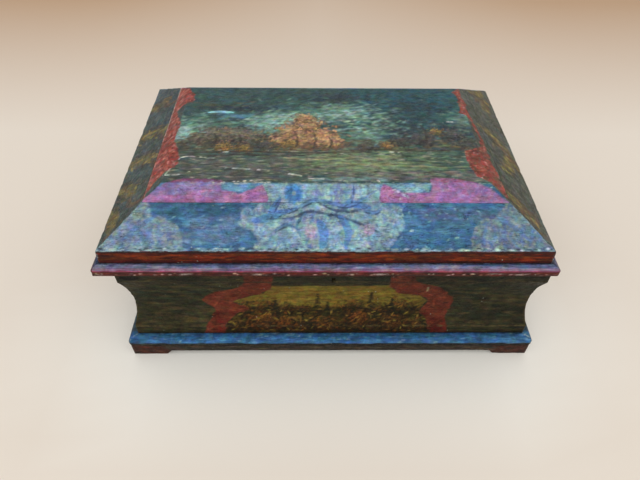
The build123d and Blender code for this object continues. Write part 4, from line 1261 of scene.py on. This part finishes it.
def paint_meadow(canvas):
    """A green meadow on the right and a dark bank on the left."""
    canvas.spread(((96, 78, 54), (84, 74, 56), (118, 96, 62), (74, 68, 54), (104, 98, 72)), 700,
                  (-128, -27), (128, -12), 9, 2.6, 0.05, 0.3, 0.6, 0.8)
    green = tones((118, 138, 100), (140, 156, 112), (98, 118, 88), (150, 156, 122), (104, 124, 106))
    canvas.scatter(green, 900, (26, -38), (76, 15), 13, 2.6, -0.03, 0.12, 0.65, 0.8)
    canvas.spread(((52, 82, 80), (74, 102, 90), (46, 68, 66), (92, 112, 80)), 260, (50, -42), (114, -26),
                  12, 2.4, 0, 0.1, 0.65, 0.8)
    bank = tones((84, 90, 82), (70, 78, 68), (104, 108, 98), (62, 66, 62), (112, 110, 96), (76, 92, 94))
    canvas.scatter(bank, 1100, (-66, -46), (66, 20), 11, 2.6, 0.04, 0.2, 0.65, 0.8)
    canvas.spread(((134, 118, 118), (104, 98, 90), (122, 128, 108), (90, 92, 90)), 300, (4, -60),
                  (112, -49), 11, 2.2, 0, 0.1, 0.6, 0.8)
    canvas.spread(((122, 158, 148), (108, 144, 146)), 70, (-8, -60), (44, -56), 9, 2.0, 0, 0.06, 0.65, 0.8)
    canvas.spread(((44, 50, 48), (60, 54, 50), (38, 48, 42)), 260, (-112, -60), (112, -22), 10, 1.5, 0,
                  0.12, 0.8, 0.7)
    canvas.spread(((160, 172, 142), (146, 150, 124), (172, 170, 150)), 170, (-112, -60), (112, -24), 7, 1.2,
                  0, 0.12, 0.75, 0.7)


def paint_copses(canvas):
    """Copses in autumn leaf along the far edge of the meadow."""
    rust = tones((196, 156, 110), (176, 136, 94), (208, 166, 108), (148, 112, 88), (182, 140, 106),
                 (132, 104, 98))
    dusk = tones((112, 106, 94), (100, 96, 90), (124, 108, 82), (86, 88, 84), (96, 92, 74))
    gold = tones((150, 118, 66), (168, 134, 74), (122, 96, 62))
    bushes(canvas, dusk, 160, (-92, -12, 12), (-80, -6, 15), (-67, -7, 16), (-54, -9, 12))
    bushes(canvas, rust, 200, (-30, -12, 12), (-20, -4, 17), (-8, -8, 17), (2, -14, 12), (-14, 8, 12),
           (-16, 17, 8))
    bushes(canvas, gold, 90, (84, -2, 7), (-74, -22, 8), (-60, -23, 7), (46, -19, 6), (-26, -18, 8))
    bushes(canvas, [c * (0.55, 0.62, 0.75) for c in dusk], 110, (96, -5, 11), (72, -10, 12), (56, -14, 9),
           (30, -20, 8), (-44, -19, 8), (106, -14, 9))
    for x, y, tall in ((-22, -22, 20), (-9, -24, 26), (3, -22, 14), (-82, -20, 16), (-64, -22, 18),
                       (74, -18, 26)):
        canvas.line(tone(52, 44, 38), [(x, y), (x + 1.5, y + tall * 0.5), (x - 1, y + tall)], 1.8, 0.65)
    for y, left, right in ((-27, -104, 30), (-30.5, -84, -10), (-24, 10, 100)):
        track = [(left, y - 2), ((2 * left + right) / 3, y), ((left + 2 * right) / 3, y - 1.5), (right, y)]
        canvas.line(tone(50, 42, 34), track, 2.0, 0.7, 0.5)
    canvas.line(tone(152, 156, 110), [(4, -39), (34, -42), (60, -43), (84, -45)], 1.6, 0.65, 0.5)
    canvas.line(tone(160, 158, 112), [(-30, -34), (-6, -36), (20, -34)], 1.6, 0.6, 0.5)


def paint_landscape(canvas):
    """Evening country with a broken teal sky, autumn copses and a meadow, and chipped lines over it."""
    paint_sky(canvas)
    paint_meadow(canvas)
    paint_copses(canvas)
    for points in ([(-110, -54), (-107, -44), (-104, -37), (-98, -33), (-79, -35)],
                   [(-70, -46), (-55, -47), (-39, -49)], [(-32, -51), (-22, -53), (-12, -56)],
                   [(-110, -54), (-100, -53), (-94, -50)], [(-74, -28), (-66, -27)], [(94, 12), (99, 12)],
                   [(46, -27), (58, -28)], [(-12, -57), (2, -58), (14, -60)],
                   [(-79, -59), (-70, -60), (-62, -60.5)], [(-60, -60.5), (-52, -59.5), (-43, -58.5)]):
        canvas.line(tone(204, 208, 196), points, 1.2, 0.95, 0.4, True)


half = (HALF_LENGTH - SEAM, HALF_DEPTH - SEAM)
xs = spaced(HALF_LENGTH - CREASE, half[0])
ys = spaced(HALF_DEPTH - CREASE, half[1])
rings = [(0, SEAM_HEIGHT - 0.6), (0, (SEAM_HEIGHT + REBATE_FLOOR) / 2), (0, REBATE_FLOOR + 0.4)]
panel = board("lid_panel_painted", xs, ys, bevelled, lambda x, y: np.full(len(x), REBATE_FLOOR), rings,
              half, 0.3, LID_X)
p = points_of(panel)
x, y = p[:, 0] - LID_X, p[:, 1]
from_front, from_back = HALF_DEPTH + y, HALF_DEPTH - y
from_left, from_right = HALF_LENGTH + x, HALF_LENGTH - x
nearest = np.minimum(np.minimum(from_front, from_back), np.minimum(from_left, from_right))
on_top = p[:, 2] > SLOPE_FOOT + nearest * SLOPE - 2
upper = (p[:, 2] > LID_TOP - 2) | on_top
finish_piece(
    panel, "front", LID_X, "lid_panel", "lid", looks["top"], [],
    lambda s, u, z: upper.astype(float), lambda s, u, z: (~upper).astype(float),
    lambda s, u, z: 0.12 * near_line(nearest, SEAM, 0.8), chip=0.3,
)
patchy = np.clip(noise(p, 3.0, 9) * 3 + 0.3, 0, 1)
seam_line = near_line(from_left, SEAM + 0.4, 1.1) * (from_left <= nearest + 0.01)
seam_line *= np.clip((y + 20) / 20, 0.3, 1)
crease_line = near_line(nearest, CREASE + 0.4, 1.7) * (from_front <= nearest + 0.01)
crease_line *= np.where(np.abs(x + 62) < 26, 1.2, 0.4)
rubbed = np.maximum(crease_line * patchy, seam_line)
panel.data.attributes["rub"].data.foreach_set("value", rubbed.astype(np.float32))
canvas = Canvas(x, y, tone(58, 84, 84), 80)
paint_landscape(canvas)
for side, depth, along in (("front", from_front, x), ("right", from_right, y),
                           ("back", from_back, -x), ("left", from_left, -y)):
    ground = BLUE if side in ("front", "back") else LEAF_GROUND
    slope = Canvas(along, depth, tone(*ground), 60 + SIDES[side])
    paint_slope(slope, side)
    canvas.within(np.where(depth < nearest + 0.01, CREASE - depth, -9), slope)
red = np.full(len(x), OUTSIDE)
pink, lens = red.copy(), red.copy()
red = np.maximum(red, inside(y, from_left, flowing(LEFT_RED + [(-74, 24), (74, 24), (74, 33)])))
red = np.maximum(red, inside(y, from_right, flowing(RIGHT_RED_OUT + RIGHT_RED_IN)))
red = np.where(np.minimum(from_front, from_back) > nearest + 0.01, red, OUTSIDE)
for depth, limit in ((from_front, FAR_OFF), (from_back, BACK_CLOTH_END)):
    for shape in (PINK_LEFT, PINK_RIGHT):
        pink = np.maximum(pink, np.minimum(inside(x, depth, flowing(shape)), limit - depth))
    for shape in (LENS_LEFT, LENS_RIGHT):
        lens = np.maximum(lens, np.minimum(inside(x, depth, shape), limit - depth))
red, pink, lens = (frayed(mask, x, y, size) for mask, size in ((red, 1.0), (pink, 0.8), (lens, 0.5)))
cloth = Canvas(x, y, tone(148, 62, 50), 82)
LEFT_CLOTH = ((188, 96, 84), (126, 48, 42), (92, 42, 40), (194, 126, 116), (158, 62, 54), (146, 88, 88))
RIGHT_CLOTH = ((160, 80, 64), (100, 44, 34), (78, 46, 36), (148, 58, 44), (84, 84, 54), (140, 92, 84))
for left_end, tints in ((-128, LEFT_CLOTH), (94, RIGHT_CLOTH)):
    low, high = (left_end, -78), (left_end + 34, 78)
    cloth.spread(tints, 1300, low, high, 6, 2.4, 1.2, 0.7, 1.0, 0.6)
    cloth.spread(((66, 34, 32), (206, 146, 134), (92, 86, 64), (52, 30, 28)), 420, low, high, 3.4, 1.4, 1.2,
                 0.9, 1.0, 0.6)
canvas.within(red, cloth)
# The pink band: the red border's paint with the varnish's sheen painted into it
rose = Canvas(x, np.minimum(from_front, from_back), tone(*PINK), 83)
rose.spread((PINK, (196, 126, 176), (160, 98, 148), (148, 116, 166)), 1000, (-124, 25), (124, 46), 9, 2.0,
            0, 0.06, 0.55, 0.7)
rose.spread((LILAC, (122, 116, 170), (154, 132, 182), (126, 126, 174)), 320, (-124, 33), (-70, 41), 7, 2.2,
            0, 0.2, 0.6, 0.8)
rose.spread((LILAC, (122, 120, 172), (152, 130, 178)), 220, (76, 27), (124, 44), 4.0, 2.0, 0, 0.6, 0.6, 0.8)
rose.spread((MAGENTA, (92, 56, 72), (142, 52, 84)), 240, (-108, 40.5), (-70, 46), 5, 1.3, 0, 0.2, 0.75)
rose.spread((MAGENTA, (176, 64, 108)), 120, (71, 41), (100, 46), 4, 1.3, 0, 0.3, 0.7)
rose.spread(((186, 180, 200), (210, 206, 214)), 40, (-120, 30), (124, 44), 1.8, 1.0, 0, 0.6, 0.7)
canvas.within(pink, rose)
pool = Canvas(x, np.minimum(from_front, from_back), tone(88, 138, 176), 84)
pool.spread(((64, 122, 174), (112, 164, 188), (128, 174, 192), (84, 142, 172)), 500, (-74, 32), (74, 42), 7,
            1.2)
pool.spread(((140, 176, 180), (156, 190, 188)), 110, (36, 32), (72, 42), 7, 1.2, 0, 0.06, 0.7)
canvas.within(lens, pool)
canvas.line(tone(214, 212, 218), [(33, -56), (36, -60.5), (41, -63.5), (51, -68.5), (62.5, -74.4)], 1.2,
            1.0, 0.4, True)
give(panel, "paint", canvas.colour)
give(panel, "red", red)
give(panel, "pink", pink)
give(panel, "lens", lens)

# Metalwork
brass = metal_material("old_brass", (150, 122, 70), (98, 76, 44), 0.38)
iron = metal_material("dark_iron", (92, 86, 80), (62, 50, 42), 0.45)
covered = covered_material("painted_nail_heads")
for name, node in frame["nodes"].items():
    if node.hide_render:
        continue
    slot = next(r["material_slot"] for r in frame["record"]["subparts"] if r["node"] == name)
    node.data.materials.clear()
    node.data.materials.append(covered if name == "corner_nails" else brass if slot == "brass" else iron)
    softened = node.modifiers.new("soft edges", "BEVEL")
    softened.width = 0.00012
    softened.segments = 2
    softened.limit_method = "ANGLE"
    softened.angle_limit = radians(35)

# Stage: a pale floor, soft light and the camera
PALE, WARM = (228, 218, 206), (190, 160, 132)
FADE_START, FADE_RUN = 200, 400


def sweep():
    """The floor, which fades to a warm tone far behind the casket, less so in its middle: the fade is
    painted shade, as on a backdrop, and its lighter middle a painted glow.
    """
    xs = np.linspace(-1400, 1400, 41)
    ys = np.linspace(-1200, 1600, 113)
    points = [(x, y, -0.02) for y in ys for x in xs]
    n = len(xs)
    faces = [(i + j * n, i + 1 + j * n, i + 1 + (j + 1) * n, i + (j + 1) * n)
             for j in range(len(ys) - 1) for i in range(n - 1)]
    floor = mesh_piece("floor", points, faces)
    floor.data.shade_smooth()
    p = points_of(floor)
    away = np.clip((p[:, 1] - FADE_START) / FADE_RUN, 0, 1)
    away *= 1 - 0.4 * np.clip(1 - np.abs(p[:, 0]) / 380, 0, 1)
    colour = tone(*PALE) + away[:, None] * (tone(*WARM) - tone(*PALE))
    # Painted light: the floor made lighter close to the casket, where its shadow falls
    painted_light_near_casket = np.clip(1 - np.hypot(np.maximum(np.abs(p[:, 0]) - 120, 0), p[:, 1] + 90) / 120, 0, 1)
    colour += painted_light_near_casket[:, None] * (tone(252, 252, 246) - colour)
    give(floor, "paint", colour)
    box = Paintbox("floor")
    paint = box.node("ShaderNodeAttribute", attribute_name="paint").outputs["Color"]
    box.put(box.shader.inputs["Base Color"], paint)
    box.shader.inputs["Roughness"].default_value = 0.9
    box.shader.inputs["Specular IOR Level"].default_value = 0.1
    floor.data.materials.append(box.material)


sweep()
world = bpy.data.worlds.new("light")
bpy.context.scene.world = world
world.use_nodes = True
world.node_tree.nodes["Background"].inputs["Color"].default_value = (1, 0.985, 0.96, 1)
world.node_tree.nodes["Background"].inputs["Strength"].default_value = 0.84
for name, place, energy in (("softbox_above", (0.1, 0.1, 1.3), 1.8),
                            ("softbox_front", (-0.1, -1.3, 0.75), 6.4)):
    lamp = bpy.data.lights.new(name, "AREA")
    lamp.shape = "RECTANGLE"
    lamp.size, lamp.size_y = 1.6, 1.0
    lamp.energy = energy
    softbox = bpy.data.objects.new(name, lamp)
    bpy.context.scene.collection.objects.link(softbox)
    softbox.location = place
    softbox.rotation_euler = (Vector((0, 0, 0.06)) - Vector(place)).to_track_quat("-Z", "Y").to_euler()

CAMERA_PLACE = (-12.2, -332.2, 363.7)
CAMERA_TURN, CAMERA_DOWN, CAMERA_ROLL = -1.11, 46.0, 0.865
FOCAL_PIXELS, IMAGE_WIDTH = 520, 640
camera = bpy.data.cameras.new("camera")
camera.sensor_width = 36
camera.sensor_fit = "HORIZONTAL"
camera.lens = FOCAL_PIXELS / IMAGE_WIDTH * camera.sensor_width
camera.clip_start = 0.01
viewer = bpy.data.objects.new("camera", camera)
bpy.context.scene.collection.objects.link(viewer)
turn = Matrix.Rotation(radians(CAMERA_TURN), 4, "Z") @ Matrix.Rotation(radians(90 - CAMERA_DOWN), 4, "X")
turn = turn @ Matrix.Rotation(radians(CAMERA_ROLL), 4, "Z")
viewer.matrix_world = Matrix.Translation(Vector(CAMERA_PLACE) * MM) @ turn
bpy.context.scene.camera = viewer
bpy.context.scene.view_settings.view_transform = "Standard"
